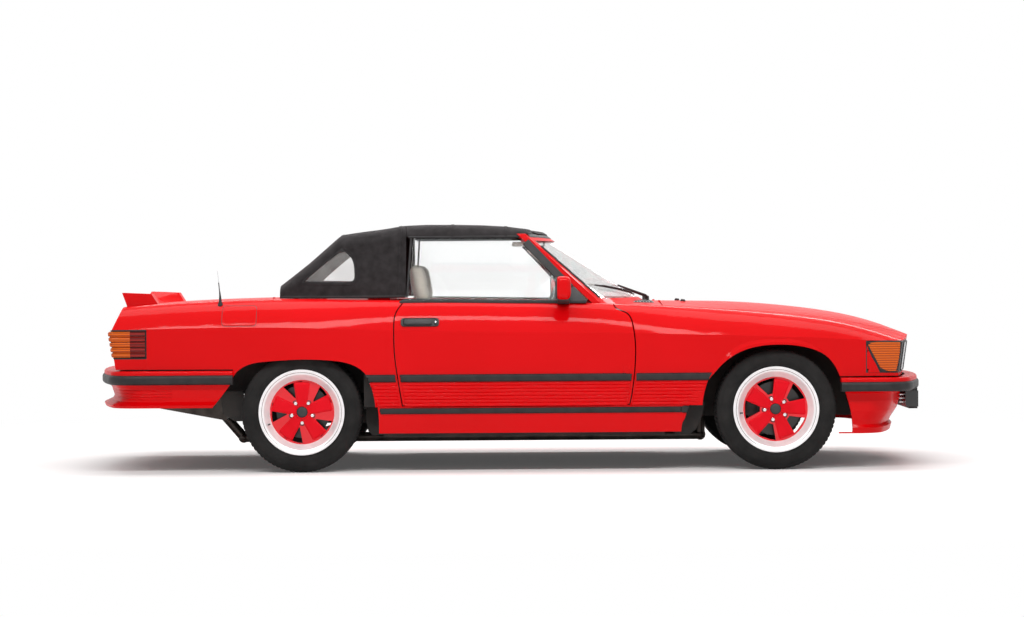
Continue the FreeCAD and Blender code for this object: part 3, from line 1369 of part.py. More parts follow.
def steering_wheel():
    """Rim, padded centre and four spokes, built flat and tilted to the column."""
    body = Part.makeTorus(S.steering_wheel_radius, S.steering_rim)
    hub = Part.makeCylinder(S.steering_wheel_radius / 3, 2 * S.steering_rim, vec(0, 0, -S.steering_rim))
    spoke_half = S.steering_rim
    reach = S.steering_wheel_radius
    cross = [
        box(-reach, reach, -spoke_half * 1.6, spoke_half * 1.6, -spoke_half / 2, spoke_half / 2),
        box(-reach, 0, -spoke_half * 1.6, spoke_half * 1.6, -spoke_half / 2, spoke_half / 2),
    ]
    whole = fused([body, hub] + cross)
    bore = S.shaft_radius + S.running_gap
    whole = whole.cut(Part.makeCylinder(bore, S.steering_rim + S.running_gap, vec(0, 0, -S.steering_rim)))
    shape = whole.copy()
    shape.rotate(vec(0, 0, 0), vec(0, 0, 1), 90)
    shape.rotate(vec(0, 0, 0), vec(0, 1, 0), -(90 - COLUMN_LEAN))
    shape.translate(vec(*WHEEL_CENTRE))
    return shape


def console():
    """Centre console on the tunnel, between the seats and up to the dashboard."""
    shares = [(0.306, 1.698), (0.631, 1.698), (0.631, 2.374), (0.614, 2.532), (0.575, 2.055), (0.319, 2.013), (0.306, 1.941)]
    outline = spots(shares)
    return side_prism(outline, -wide(0.117), wide(0.117))


ENGINE_FOOT = level(1.346)


def engine():
    """Engine and gearbox as one plain block, with the propeller shaft to the differential."""
    block = box(along(0.844), along(0.966), -wide(0.335), wide(0.335), ENGINE_FOOT, level(3.121))
    front = box(along(0.966), along(1.273), -wide(0.335), wide(0.335), level(1.259), level(3.121))
    gearbox = box(along(0.616), along(0.844), -wide(0.117), wide(0.117), level(1.049), level(1.584))
    shaft = rod(vec(along(0.616), 0, level(1.311)), vec(REAR_AXLE + S.disc_radius + S.running_gap, 0, level(1.311)), wide(0.042))
    return fused([block, front, gearbox, shaft])


def radiator():
    face = along(1.694) - S.running_gap
    return box(face - wide(0.050), face, -wide(0.380), wide(0.380), level(1.346), level(2.651))


def exhaust():
    """Twin downpipes, one long pipe and the rear silencer with its tail pipes."""
    y = wide(-0.257)
    z = level(0.746)
    pipe = wide(0.029)
    front = vec(along(0.856), y, z)
    back = vec(along(-0.319), y, z)
    inlet = vec(along(-0.426), y, level(1.311))
    pieces = [rod(front, back, pipe), rod(front, vec(front.x, y, ENGINE_FOOT), pipe), rod(back, inlet, pipe)]
    pieces += [Part.makeSphere(pipe * ELBOW_SHARE, elbow) for elbow in (front, back)]
    pieces.append(side_prism(spots(SILENCER_SHARES), wide(-0.469), wide(0.022)))
    for shift in (-2 * pipe, 2 * pipe):
        pieces.append(rod(vec(along(-0.764), y + shift, level(1.549)), vec(along(-0.871), y + shift, level(1.528)), pipe))
    return fused(pieces)


ELBOW_SHARE = 1.15
SILENCER_SHARES = [(-0.381, 1.171), (-0.782, 1.469), (-0.782, 1.643), (-0.728, 1.668), (-0.381, 1.608)]


def fog_lamps():
    """The two fog lamps hung under the front bumper on their brackets."""
    lamps = []
    for side in (RIGHT, LEFT):
        y0 = side * wide(0.302)
        y1 = side * wide(0.480)
        lamp = box(along(1.874), along(1.956), y0, y1, level(1.350), level(1.650))
        bracket = box(along(1.915), along(1.944), side * wide(0.369), side * wide(0.413), level(1.650), bumper_foot(FRONT_BUMPER_TOP) - S.running_gap)
        lamps.append(fused([lamp, bracket]))
    return Part.makeCompound(lamps)


def mirror():
    """Left door mirror: housing on a short foot at the front of the door."""
    housing = box(along(0.535), along(0.569), wide(0.955), wide(1.128), level(4.041), level(4.327))
    housing = housing.makeFillet(wide(0.025), housing.Edges)
    foot = box(along(0.543), along(0.563), wide(0.901), wide(1.006), level(3.758), level(4.074))
    foot = foot.cut(body_form(-S.running_gap))
    whole = fused([housing, foot])
    return largest(whole)


def hinge_plates():
    """Left door hinges: arms from the post, with their pins."""
    pieces = []
    arm = S.pin_radius * 2
    for z in (HINGE_LOW, HINGE_HIGH):
        pin = rod(vec(HINGE_X, HINGE_Y, z - HINGE_HEIGHT), vec(HINGE_X, HINGE_Y, z + HINGE_HEIGHT), S.pin_radius)
        inward = box(HINGE_X - arm / 2, HINGE_X + arm / 2, HINGE_Y, DOOR_INNER_Y - arm * 2, z - HINGE_HEIGHT / 3, z + HINGE_HEIGHT / 3)
        forward = box(HINGE_X - arm / 2, along(0.711), DOOR_INNER_Y - arm, DOOR_INNER_Y - arm * 2, z - HINGE_HEIGHT / 3, z + HINGE_HEIGHT / 3)
        pieces += [fused([pin, inward, forward])]
    return pieces


HINGE_LOW = level(2.157)
HINGE_HIGH = level(2.787)
HINGE_HEIGHT = wide(0.040)
DOOR_SWING_SPARE = 3


def hinge_slots():
    """Room in the left door for its hinge arms through the whole swing, and the pins' bores."""
    tools = []
    bore = S.pin_radius + S.running_gap
    clear = S.pin_radius + S.shut_gap
    far = 2 * HINGE_REACH
    opened = math.radians(S.door_swing + DOOR_SWING_SPARE)
    ahead = (math.sin(opened), -math.cos(opened))
    half = HINGE_HEIGHT / 3 + S.shut_gap
    for z in (HINGE_LOW, HINGE_HIGH):
        top = z + HINGE_HEIGHT + S.shut_gap
        low = z - HINGE_HEIGHT - S.shut_gap
        tools.append(rod(vec(HINGE_X, HINGE_Y, low), vec(HINGE_X, HINGE_Y, top), bore))
        tools.append(rod(vec(HINGE_X, HINGE_Y, z - half), vec(HINGE_X, HINGE_Y, z + half), clear))
        outline = [
            (HINGE_X - clear, HINGE_Y),
            (HINGE_X - clear, HINGE_Y - far),
            (HINGE_X + far, HINGE_Y - far),
            (HINGE_X + far * ahead[0] - clear * ahead[1], HINGE_Y + far * ahead[1] + clear * ahead[0]),
            (HINGE_X - clear * ahead[1], HINGE_Y + clear * ahead[0]),
        ]
        tools.append(plan_prism(outline, z - half, z + half))
    return tools


def both(shape):
    """A left sub-part and its mirror image, together."""
    return Part.makeCompound([mirrored(shape), shape])


def front_glass_and_doors():
    """Both doors with their hinge slots and their raised glass."""
    left_door = door()
    for tool in hinge_slots():
        left_door = left_door.cut(tool)
    glass = door_glass()
    left_door = largest(left_door.cut(thick_glass(glass)))
    glass = glass.cut(left_door)
    for label, shape in (("door", left_door), ("door_glass", glass)):
        feature(f"{label}_right", mirrored(shape))
        feature(f"{label}_left", shape)


def bumpers():
    """Rubber strips and painted caps of both bumpers."""
    front = bumper(FRONT_BUMPER_TOP, FRONT_BUMPER_END, BIG)
    rear = bumper(REAR_BUMPER_TOP, -BIG, REAR_BUMPER_END)
    feature("bumpers", Part.makeCompound([fused([front[0], front_plate_pad()]), rear[0]]))
    feature("bumper_caps", Part.makeCompound([front[1], rear[1]]))


def build():
    feature("front_wings", both(front_wing()))
    feature("rear_quarters", both(rear_quarter()))
    feature("front_panel", front_panel())
    feature("headlamps", both(headlamp()))
    feature("grille", grille())
    feature("bonnet", bonnet())
    feature("cowl", cowl())
    feature("tail_lamps", both(tail_lamp()))
    feature("tail_panel", tail_panel())
    feature("boot_lid", boot_lid())
    feature("well_deck", well_deck())
    feature("sills", both(sill()))
    front_glass_and_doors()
    both_sides("mirror", mirror)
    bumpers()
    feature("aprons", aprons())
    feature("fog_lamps", fog_lamps())
    feature("windscreen_frame", windscreen_frame())
    feature("windscreen_glass", windscreen_glass())
    feature("soft_top", soft_top())
    feature("soft_top_windows", top_windows())
    hinges = hinge_plates()
    feature("body_shell", fused([body_shell()] + hinges + [mirrored(hinge) for hinge in hinges]))
    feature("seats", both(seat()))
    feature("dashboard", dashboard())
    feature("steering_wheel", steering_wheel())
    feature("engine", engine())
    feature("radiator", radiator())
    feature("exhaust", exhaust())
    feature("front_suspension", front_suspension())
    feature("rear_suspension", rear_suspension())
    both_sides("knuckle", knuckle)
    wheels()


def thick_glass(glass):
    """The glass with its running gap, as a tool for the slot in the door's top."""
    g = S.running_gap
    tools = [glass.translated(vec(0, shift, 0)) for shift in (-g, g)]
    return fused([glass] + tools)


def export():
    """Checks every object and sub-part, then writes one file for each sub-part."""
    for item in doc.Objects:
        if "Invalid" in item.State or "Error" in item.State:
            raise RuntimeError(f"{item.Label} did not compute: {item.State}")
    os.makedirs("parts", exist_ok=True)
    for item in parts:
        if item.Shape.isNull() or not item.Shape.isValid():
            raise RuntimeError(f"{item.Label} has no valid shape")
        item.Shape.exportStep(f"parts/{item.Label}.step")


build()
doc.recompute()
export()
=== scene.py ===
"""Looks of the convertible car: paint, glass, fabric top, seats, tyres, lamps and trims."""

import math

import bmesh
import bpy
from mathutils import Matrix, Vector, noise
from mathutils.bvhtree import BVHTree


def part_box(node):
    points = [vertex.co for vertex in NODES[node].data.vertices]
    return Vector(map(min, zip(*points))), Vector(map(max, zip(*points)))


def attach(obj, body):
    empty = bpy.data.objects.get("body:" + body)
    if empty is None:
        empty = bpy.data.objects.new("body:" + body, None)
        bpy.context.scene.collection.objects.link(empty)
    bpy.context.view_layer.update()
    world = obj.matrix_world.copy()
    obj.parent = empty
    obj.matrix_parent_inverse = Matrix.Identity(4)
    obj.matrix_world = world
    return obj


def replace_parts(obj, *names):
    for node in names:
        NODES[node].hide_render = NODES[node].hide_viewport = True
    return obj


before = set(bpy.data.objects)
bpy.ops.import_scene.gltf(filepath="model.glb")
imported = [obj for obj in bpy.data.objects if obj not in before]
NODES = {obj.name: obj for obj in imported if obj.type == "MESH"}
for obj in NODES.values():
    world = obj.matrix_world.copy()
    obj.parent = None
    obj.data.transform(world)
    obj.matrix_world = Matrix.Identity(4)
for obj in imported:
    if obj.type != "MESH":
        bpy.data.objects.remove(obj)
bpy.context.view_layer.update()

RIGHT, LEFT = -1, 1
SIDES = (("right", RIGHT), ("left", LEFT))
FRONT_AXLE, REAR_AXLE = 1.373, -1.082
AXLE_Z, WHEEL_Y = 0.312, 0.735
ALONG, ACROSS, UP = Vector((1, 0, 0)), Vector((0, 1, 0)), Vector((0, 0, 1))
SIDE_START, TOP_START, NOSE_START = 1.5, 2.0, 3.0
SUNK = -0.001


# Materials. Coordinates are the object's own, in metres, so a pattern stays on its piece.


def new_material(name, color, roughness, metallic=0.0, coat=0.0):
    mat = bpy.data.materials.new(name)
    mat.use_nodes = True
    shader = mat.node_tree.nodes["Principled BSDF"]
    shader.inputs["Base Color"].default_value = (*color, 1)
    shader.inputs["Roughness"].default_value = roughness
    shader.inputs["Metallic"].default_value = metallic
    shader.inputs["Coat Weight"].default_value = coat
    shader.inputs["Coat Roughness"].default_value = 0.03
    return mat


def nodes_of(mat):
    return mat.node_tree.nodes, mat.node_tree.links, mat.node_tree.nodes["Principled BSDF"]


def object_coordinates(mat):
    nodes, _, _ = nodes_of(mat)
    found = nodes.get("Coordinates")
    if found is None:
        found = nodes.new("ShaderNodeTexCoord")
        found.name = "Coordinates"
    return found.outputs["Object"]


def noise_of(mat, scale, detail=3.0):
    nodes, links, _ = nodes_of(mat)
    tex = nodes.new("ShaderNodeTexNoise")
    tex.inputs["Scale"].default_value = scale
    tex.inputs["Detail"].default_value = detail
    links.new(object_coordinates(mat), tex.inputs["Vector"])
    return tex.outputs["Fac"]


def ramp(mat, source, stops):
    """A colour ramp over a value, from (position, colour) stops."""
    nodes, links, _ = nodes_of(mat)
    made = nodes.new("ShaderNodeValToRGB")
    points = made.color_ramp.elements
    while len(points) < len(stops):
        points.new(0.5)
    for point, (position, color) in zip(points, stops):
        point.position = position
        point.color = (*color, 1)
    links.new(source, made.inputs["Fac"])
    return made.outputs["Color"]


def maths(mat, operation, *values):
    """A maths node over links and numbers."""
    nodes, links, _ = nodes_of(mat)
    made = nodes.new("ShaderNodeMath")
    made.operation = operation
    for socket, value in zip(made.inputs, values):
        if isinstance(value, (int, float)):
            socket.default_value = value
        else:
            links.new(value, socket)
    return made.outputs[0]


def mixed(mat, share, first, second):
    """One colour or link turning into another by a share."""
    nodes, links, _ = nodes_of(mat)
    made = nodes.new("ShaderNodeMix")
    made.data_type = "RGBA"
    links.new(share, made.inputs["Factor"])
    colors = [s for s in made.inputs if s.type == "RGBA"]
    for socket, value in zip(colors, (first, second)):
        if isinstance(value, tuple):
            socket.default_value = (*value, 1)
        else:
            links.new(value, socket)
    return next(s for s in made.outputs if s.type == "RGBA")


def fixed(mat, values):
    """Sets sockets that are the same all over a material."""
    _, _, shader = nodes_of(mat)
    for name, value in values.items():
        shader.inputs[name].default_value = value


def color_from(mat, source):
    _, links, shader = nodes_of(mat)
    links.new(source, shader.inputs["Base Color"])


def vary_color(mat, low, high, scale, detail=3.0):
    """Two shades of one colour in soft patches."""
    color_from(mat, ramp(mat, noise_of(mat, scale, detail), [(0.3, low), (0.7, high)]))


def vary_roughness(mat, low, high, scale):
    nodes, links, shader = nodes_of(mat)
    made = nodes.new("ShaderNodeMapRange")
    made.inputs["To Min"].default_value = low
    made.inputs["To Max"].default_value = high
    links.new(noise_of(mat, scale), made.inputs["Value"])
    links.new(made.outputs["Result"], shader.inputs["Roughness"])


def bump(mat, height, distance, strength=1.0):
    """Bump from a height, in metres, stacked on any bump made before."""
    nodes, links, shader = nodes_of(mat)
    made = nodes.new("ShaderNodeBump")
    made.inputs["Strength"].default_value = strength
    made.inputs["Distance"].default_value = distance
    links.new(height, made.inputs["Height"])
    before = shader.inputs["Normal"].links
    if before:
        links.new(before[0].from_socket, made.inputs["Normal"])
    links.new(made.outputs["Normal"], shader.inputs["Normal"])


def axis_value(mat, axis):
    nodes, links, _ = nodes_of(mat)
    split = nodes.new("ShaderNodeSeparateXYZ")
    links.new(object_coordinates(mat), split.inputs[0])
    return split.outputs["XYZ".index(axis)]


def waves(mat, axis, pitch):
    """A sine wave along one axis, 0 to 1, with a pitch in metres."""
    turned = maths(mat, "MULTIPLY", axis_value(mat, axis), 2 * math.pi / pitch)
    return maths(mat, "MULTIPLY_ADD", maths(mat, "SINE", turned), 0.5, 0.5)


def red_paint():
    """Deep red paint under a thin clear coat."""
    mat = new_material("red_paint", (0.66, 0.0004, 0.002), 0.5, coat=0.22)
    fixed(mat, {"Specular IOR Level": 0.02, "Coat Roughness": 0.05})
    vary_color(mat, (0.64, 0.0003, 0.0015), (0.68, 0.0006, 0.003), 2.0)
    vary_roughness(mat, 0.45, 0.55, 9.0)
    bump(mat, noise_of(mat, 260.0, 1.0), 0.0004, 0.04)
    return mat


def red_enamel():
    """Thick red lacquer of the wheels' centres."""
    mat = new_material("wheel_red", (0.70, 0.002, 0.006), 0.30, coat=0.15)
    fixed(mat, {"Specular IOR Level": 0.05})
    vary_color(mat, (0.68, 0.001, 0.008), (0.76, 0.002, 0.012), 12.0)
    vary_roughness(mat, 0.24, 0.38, 30.0)
    return mat


def black_paint():
    mat = new_material("black_paint", (0.012, 0.012, 0.013), 0.35, coat=0.4)
    vary_color(mat, (0.009, 0.009, 0.01), (0.018, 0.018, 0.019), 14.0)
    bump(mat, noise_of(mat, 500.0, 2.0), 0.0003, 0.2)
    return mat


def trim_rubber():
    """Bumper and side strips, seals and guards."""
    mat = new_material("trim_rubber", (0.018, 0.016, 0.017), 0.5)
    fixed(mat, {"Specular IOR Level": 0.3})
    vary_color(mat, (0.012, 0.011, 0.012), (0.024, 0.022, 0.023), 18.0)
    vary_roughness(mat, 0.42, 0.66, 30.0)
    bump(mat, noise_of(mat, 900.0, 2.0), 0.0003, 0.35)
    return mat


def tyre_rubber():
    """Tyre rubber, dusty in soft patches all over, with patches of varied roughness."""
    mat = new_material("tyre_rubber", (0.012, 0.0115, 0.0115), 0.78)
    fixed(mat, {"Specular IOR Level": 0.2})
    vary_color(mat, (0.008, 0.0078, 0.0078), (0.018, 0.017, 0.0165), 11.0, 5.0)
    vary_roughness(mat, 0.62, 0.9, 40.0)
    bump(mat, noise_of(mat, 700.0, 3.0), 0.0005, 0.4)
    return mat


def under_paint():
    """Stone guard under the floor and in the wheel housings."""
    mat = new_material("under_paint", (0.02, 0.019, 0.018), 0.8)
    vary_color(mat, (0.012, 0.012, 0.012), (0.04, 0.036, 0.032), 7.0, 6.0)
    bump(mat, noise_of(mat, 160.0, 4.0), 0.002, 0.6)
    return mat


def cast_metal(name, low, high, roughness):
    mat = new_material(name, high, roughness, metallic=0.8)
    vary_color(mat, low, high, 22.0, 6.0)
    vary_roughness(mat, roughness - 0.12, roughness + 0.12, 35.0)
    bump(mat, noise_of(mat, 420.0, 4.0), 0.0008, 0.45)
    return mat


def wheel_radius(mat):
    """Distance from the axle, for all four wheels at once."""
    middle = (FRONT_AXLE + REAR_AXLE) / 2
    half = (FRONT_AXLE - REAR_AXLE) / 2
    shifted = maths(mat, "SUBTRACT", axis_value(mat, "X"), middle)
    x = maths(mat, "SUBTRACT", maths(mat, "ABSOLUTE", shifted), half)
    z = maths(mat, "SUBTRACT", axis_value(mat, "Z"), AXLE_Z)
    squares = maths(mat, "ADD", maths(mat, "MULTIPLY", x, x), maths(mat, "MULTIPLY", z, z))
    return maths(mat, "SQRT", squares)


RED_RADIUS = 0.1675
SPOKE_BACK = 0.034


def wheel_finish():
    """Red painted centre inside a turned and lacquered alloy rim, near black deep inside the wheel as
    painted shade.
    """
    mat = new_material("wheel_finish", (0.62, 0.62, 0.63), 0.30, coat=0.2)
    radius = wheel_radius(mat)
    outside = maths(mat, "GREATER_THAN", radius, RED_RADIUS)
    # Faces less than SPOKE_BACK out from the wheel's middle plane, behind the spokes, are coloured near
    # black: painted shade deep inside the wheel.
    out = maths(mat, "SUBTRACT", maths(mat, "ABSOLUTE", axis_value(mat, "Y")), WHEEL_Y)
    painted_shade_inside = maths(mat, "LESS_THAN", out, SPOKE_BACK)
    line = maths(mat, "COMPARE", radius, 0.2065, 0.0011)
    alloy = ramp(mat, noise_of(mat, 30.0), [(0.3, (0.84, 0.83, 0.84)), (0.7, (0.92, 0.91, 0.92))])
    red = ramp(mat, noise_of(mat, 12.0), [(0.3, (0.68, 0.001, 0.008)), (0.7, (0.76, 0.002, 0.012))])
    cover = mixed(mat, outside, red, alloy)
    lined = mixed(mat, line, cover, (0.10, 0.06, 0.06))
    color_from(mat, mixed(mat, painted_shade_inside, lined, (0.030, 0.028, 0.027)))
    _, links, shader = nodes_of(mat)
    links.new(maths(mat, "MULTIPLY", outside, 0.30), shader.inputs["Metallic"])
    rings = maths(mat, "SINE", maths(mat, "MULTIPLY", radius, 2 * math.pi / 0.0012))
    bump(mat, maths(mat, "MULTIPLY", rings, outside), 0.0002, 0.10)
    return mat


def brushed_steel():
    mat = new_material("brushed_steel", (0.06, 0.05, 0.045), 0.5, metallic=0.6)
    vary_color(mat, (0.030, 0.024, 0.020), (0.10, 0.085, 0.075), 12.0, 6.0)
    vary_roughness(mat, 0.25, 0.5, 60.0)
    return mat


def bright_metal():
    mat = new_material("bright_metal", (0.75, 0.75, 0.76), 0.14, metallic=1.0)
    vary_roughness(mat, 0.10, 0.22, 50.0)
    return mat


def glass_of(name, tint, alpha):
    """Tinted glass. Part of the light goes straight through, so the cabin isn't dark."""
    mat = new_material(name, tint, 0.0)
    fixed(mat, {"Transmission Weight": 1.0, "IOR": 1.45, "Alpha": alpha})
    bump(mat, noise_of(mat, 3.0, 1.0), 0.0006, 0.05)
    return mat


def clear_vinyl():
    """Soft clear panes of the fabric top, slightly cloudy and wavy."""
    mat = new_material("clear_vinyl", (0.83, 0.83, 0.81), 0.16)
    fixed(mat, {"Transmission Weight": 0.6, "Alpha": 0.18, "IOR": 1.4})
    vary_roughness(mat, 0.08, 0.30, 7.0)
    bump(mat, noise_of(mat, 9.0, 2.0), 0.006, 0.35)
    return mat


def top_fabric():
    """Black double-weave cloth of the top, in soft patches of two shades of black."""
    mat = new_material("top_fabric", (0.030, 0.027, 0.028), 0.92)
    fixed(mat, {"Sheen Weight": 0.12, "Sheen Roughness": 0.5, "Sheen Tint": (0.55, 0.5, 0.52, 1)})
    fixed(mat, {"Specular IOR Level": 0.15})
    vary_color(mat, (0.016, 0.014, 0.0145), (0.030, 0.027, 0.028), 26.0, 6.0)
    across = maths(mat, "MULTIPLY", waves(mat, "X", 0.0022), waves(mat, "Y", 0.0022))
    upright = maths(mat, "MULTIPLY", waves(mat, "X", 0.0022), waves(mat, "Z", 0.0022))
    bump(mat, maths(mat, "ADD", across, upright), 0.0005, 0.35)
    bump(mat, noise_of(mat, 55.0, 4.0), 0.001, 0.25)
    return mat


def leather(name, low, high):
    mat = new_material(name, high, 0.42)
    vary_color(mat, low, high, 6.0, 5.0)
    vary_roughness(mat, 0.36, 0.52, 25.0)
    nodes, links, _ = nodes_of(mat)
    grain = nodes.new("ShaderNodeTexVoronoi")
    grain.feature = "DISTANCE_TO_EDGE"
    grain.inputs["Scale"].default_value = 420.0
    links.new(object_coordinates(mat), grain.inputs["Vector"])
    bump(mat, grain.outputs["Distance"], 0.0006, 0.35)
    bump(mat, noise_of(mat, 30.0, 3.0), 0.003, 0.2)
    return mat


def moulded_plastic(name, low, high, roughness):
    mat = new_material(name, high, roughness)
    vary_color(mat, low, high, 15.0)
    vary_roughness(mat, roughness - 0.08, roughness + 0.08, 45.0)
    bump(mat, noise_of(mat, 650.0, 2.0), 0.0004, 0.4)
    return mat


def carpet():
    mat = new_material("carpet", (0.03, 0.028, 0.028), 0.95)
    vary_color(mat, (0.018, 0.017, 0.017), (0.045, 0.041, 0.040), 60.0, 6.0)
    bump(mat, noise_of(mat, 380.0, 4.0), 0.003, 0.8)
    return mat


def lamp_lens(name, low, high, pitch, axis, clear=0.0):
    """Moulded lens with fine flutes over a bright bowl, dark in each flute's trough and light on its crest:
    painted shade and highlight.
    """
    mat = new_material(name, high, 0.12, coat=0.2)
    fixed(mat, {"Specular IOR Level": 0.2, "Metallic": clear})
    flutes = waves(mat, axis, pitch)
    # Colour runs from the darker to the lighter shade across each flute: painted shade in the troughs,
    # painted highlight on the crests.
    color_from(mat, ramp(mat, flutes, [(0.0, low), (1.0, high)]))
    bump(mat, flutes, 0.0015, 0.6)
    return mat


MATERIALS = {
    "red": red_paint(),
    "black": black_paint(),
    "rubber": trim_rubber(),
    "tyre": tyre_rubber(),
    "under": under_paint(),
    "iron": cast_metal("chassis_iron", (0.02, 0.02, 0.02), (0.07, 0.068, 0.065), 0.6),
    "alloy_cast": cast_metal("cast_alloy", (0.22, 0.22, 0.22), (0.42, 0.42, 0.42), 0.5),
    "wheel": wheel_finish(),
    "steel": brushed_steel(),
    "bright": bright_metal(),
    "screen": glass_of("screen_glass", (0.84, 0.95, 0.92), 0.24),
    "side_glass": glass_of("side_glass", (0.90, 0.98, 0.98), 0.10),
    "vinyl": clear_vinyl(),
    "fabric": top_fabric(),
    "leather": leather("cream_leather", (0.62, 0.56, 0.46), (0.76, 0.70, 0.60)),
    "card": leather("door_card", (0.60, 0.54, 0.45), (0.70, 0.64, 0.55)),
    "plastic": moulded_plastic("dark_plastic", (0.014, 0.014, 0.015), (0.028, 0.027, 0.028), 0.55),
    "grip": leather("black_leather", (0.014, 0.013, 0.013), (0.030, 0.028, 0.028)),
    "carpet": carpet(),
    "amber": lamp_lens("amber_lens", (0.36, 0.045, 0.0005), (0.74, 0.13, 0.001), 0.012, "Z"),
    "tail_red": lamp_lens("red_lens", (0.10, 0.003, 0.002), (0.30, 0.010, 0.006), 0.016, "Z"),
    "lamp": lamp_lens("headlamp_lens", (0.45, 0.47, 0.49), (0.86, 0.88, 0.90), 0.009, "Y", 0.45),
    "wheel_red": red_enamel(),
    "white": moulded_plastic("blank_plate", (0.70, 0.70, 0.68), (0.80, 0.80, 0.78), 0.35),
}

NODE_LOOKS = {
    "red": [
        "front_wings", "rear_quarters", "front_panel", "bonnet", "cowl", "tail_panel", "boot_lid",
        "well_deck", "sills", "door_right", "door_left", "mirror_right", "mirror_left",
        "bumper_caps", "aprons", "windscreen_frame",
    ],
    "rubber": ["bumpers"],
    "black": ["fog_lamps", "grille"],
    "under": ["body_shell"],
    "iron": ["front_suspension", "rear_suspension", "knuckle_right", "knuckle_left"],
    "alloy_cast": ["engine", "radiator"],
    "steel": ["exhaust"],
    "wheel": [f"wheel_{end}_{side}" for end in ("front", "rear") for side, _ in SIDES],
    "tyre": [f"tyre_{end}_{side}" for end in ("front", "rear") for side, _ in SIDES],
    "screen": ["windscreen_glass"],
    "side_glass": ["door_glass_right", "door_glass_left"],
    "vinyl": ["soft_top_windows"],
    "fabric": ["soft_top"],
    "leather": ["seats"],
    "plastic": ["dashboard", "headlamps", "tail_lamps"],
    "grip": ["steering_wheel"],
}


def dress_nodes():
    for look, names in NODE_LOOKS.items():
        for name in names:
            mesh = NODES[name].data
            mesh.materials.clear()
            mesh.materials.append(MATERIALS[look])


# Mesh helpers. Every piece is made in the car's frame, in metres.


def piece(name, vertices, faces, look, body, smooth=True):
    """A mesh with one material that rides on a body."""
    mesh = bpy.data.meshes.new(name)
    mesh.from_pydata([tuple(v) for v in vertices], [], faces)
    mesh.validate()
    mesh.materials.append(MATERIALS[look])
    obj = bpy.data.objects.new(name, mesh)
    bpy.context.scene.collection.objects.link(obj)
    for polygon in mesh.polygons:
        polygon.use_smooth = smooth
    tidy = bmesh.new()
    tidy.from_mesh(mesh)
    bmesh.ops.recalc_face_normals(tidy, faces=tidy.faces)
    tidy.to_mesh(mesh)
    tidy.free()
    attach(obj, body)
    return obj


def sheet_faces(rows, columns, ring=False, loop=False):
    """Quads of a grid of points; ring closes its rows and loop its columns."""
    faces = []
    for i in range(rows if loop else rows - 1):
        for j in range(columns if ring else columns - 1):
            a = i * columns + j
            b = i * columns + (j + 1) % columns
            c = (i + 1) % rows * columns + (j + 1) % columns
            d = (i + 1) % rows * columns + j
            faces.append((a, b, c, d))
    return faces


def loft(name, rows, look, body, ring=True, caps=True, loop=False, smooth=True):
    """Skin over rows of points; closed rows are capped at both ends."""
    columns = len(rows[0])
    faces = sheet_faces(len(rows), columns, ring, loop)
    if ring and caps and not loop:
        faces.append(tuple(range(columns)))
        last = (len(rows) - 1) * columns
        faces.append(tuple(last + j for j in reversed(range(columns))))
    vertices = [point for row in rows for point in row]
    return piece(name, vertices, faces, look, body, smooth)


def sharpen(obj, angle=35):
    """Shades faces smooth but keeps edges over an angle sharp."""
    mesh = obj.data
    edit = bmesh.new()
    edit.from_mesh(mesh)
    limit = math.radians(angle)
    for edge in edit.edges:
        if len(edge.link_faces) == 2:
            edge.smooth = edge.calc_face_angle(0) < limit
    edit.to_mesh(mesh)
    edit.free()
    return obj


def rounded(obj, width, segments=3):
    """Rounds a piece's edges with a bevel."""
    soft = obj.modifiers.new("edges", "BEVEL")
    soft.width = width
    soft.segments = segments
    soft.limit_method = "ANGLE"
    soft.angle_limit = math.radians(30)
    soft.harden_normals = True
    return obj


def circle(count):
    """Cosine and sine of even steps round a circle."""
    return [(math.cos(a), math.sin(a)) for a in (2 * math.pi * k / count for k in range(count))]


def fore_and_aft(name, centre, profile, look, count, angle=35):
    """Rings of (radius, distance forward) round a line along the car, as one shaded piece."""
    cx, cy, cz = centre
    rows = [[(cx + out, cy + r * c, cz + r * s) for c, s in circle(count)] for r, out in profile]
    return sharpen(loft(name, rows, look, "body"), angle)


def baked(obj):
    """Makes an object's modifiers part of its mesh."""
    graph = bpy.context.evaluated_depsgraph_get()
    graph.update()
    obj.data = bpy.data.meshes.new_from_object(obj.evaluated_get(graph))
    obj.modifiers.clear()


def raised(edge, height, shares):
    """Layers of a flat pad: sunk foot, low edge, then one height over some shares."""
    return [(0, SUNK), (0, edge)] + [(share, height) for share in shares]


def block(name, low, high, look, body, radius=0.002):
    """A rounded block between two corners."""
    x0, y0, z0 = (min(a, b) for a, b in zip(low, high))
    x1, y1, z1 = (max(a, b) for a, b in zip(low, high))
    rows = [[(x, y0, z0), (x, y1, z0), (x, y1, z1), (x, y0, z1)] for x in (x0, x1)]
    return rounded(loft(name, rows, look, body), radius)


def tube(name, points, radius, look, body, sides=12):
    """A round bar along points. The radius is a number, or a list with one for each point."""
    path = [Vector(p) for p in points]
    rows = []
    up = Vector((0.3, 0.2, 0.9)).normalized()
    for i, here in enumerate(path):
        before = path[max(0, i - 1)]
        after = path[min(len(path) - 1, i + 1)]
        run = (after - before).normalized()
        across = run.cross(up).normalized()
        other = run.cross(across).normalized()
        size = radius[i] if isinstance(radius, list) else radius
        rows.append([here + size * (c * across + s * other) for c, s in circle(sides)])
    return sharpen(loft(name, rows, look, body), 50)


def turned(name, profile, centre, look, body, steps=64, side=LEFT, closed=False):
    """A profile of (radius, offset) points turned about the wheel's axis, outwards positive."""
    cx, cy, cz = centre
    rows = []
    for k in range(steps):
        angle = 2 * math.pi * k / steps
        rows.append([
            (cx + r * math.cos(angle), cy + side * out, cz + r * math.sin(angle))
            for r, out in profile
        ])
    return loft(name, rows, look, body, ring=closed, loop=True, caps=False)


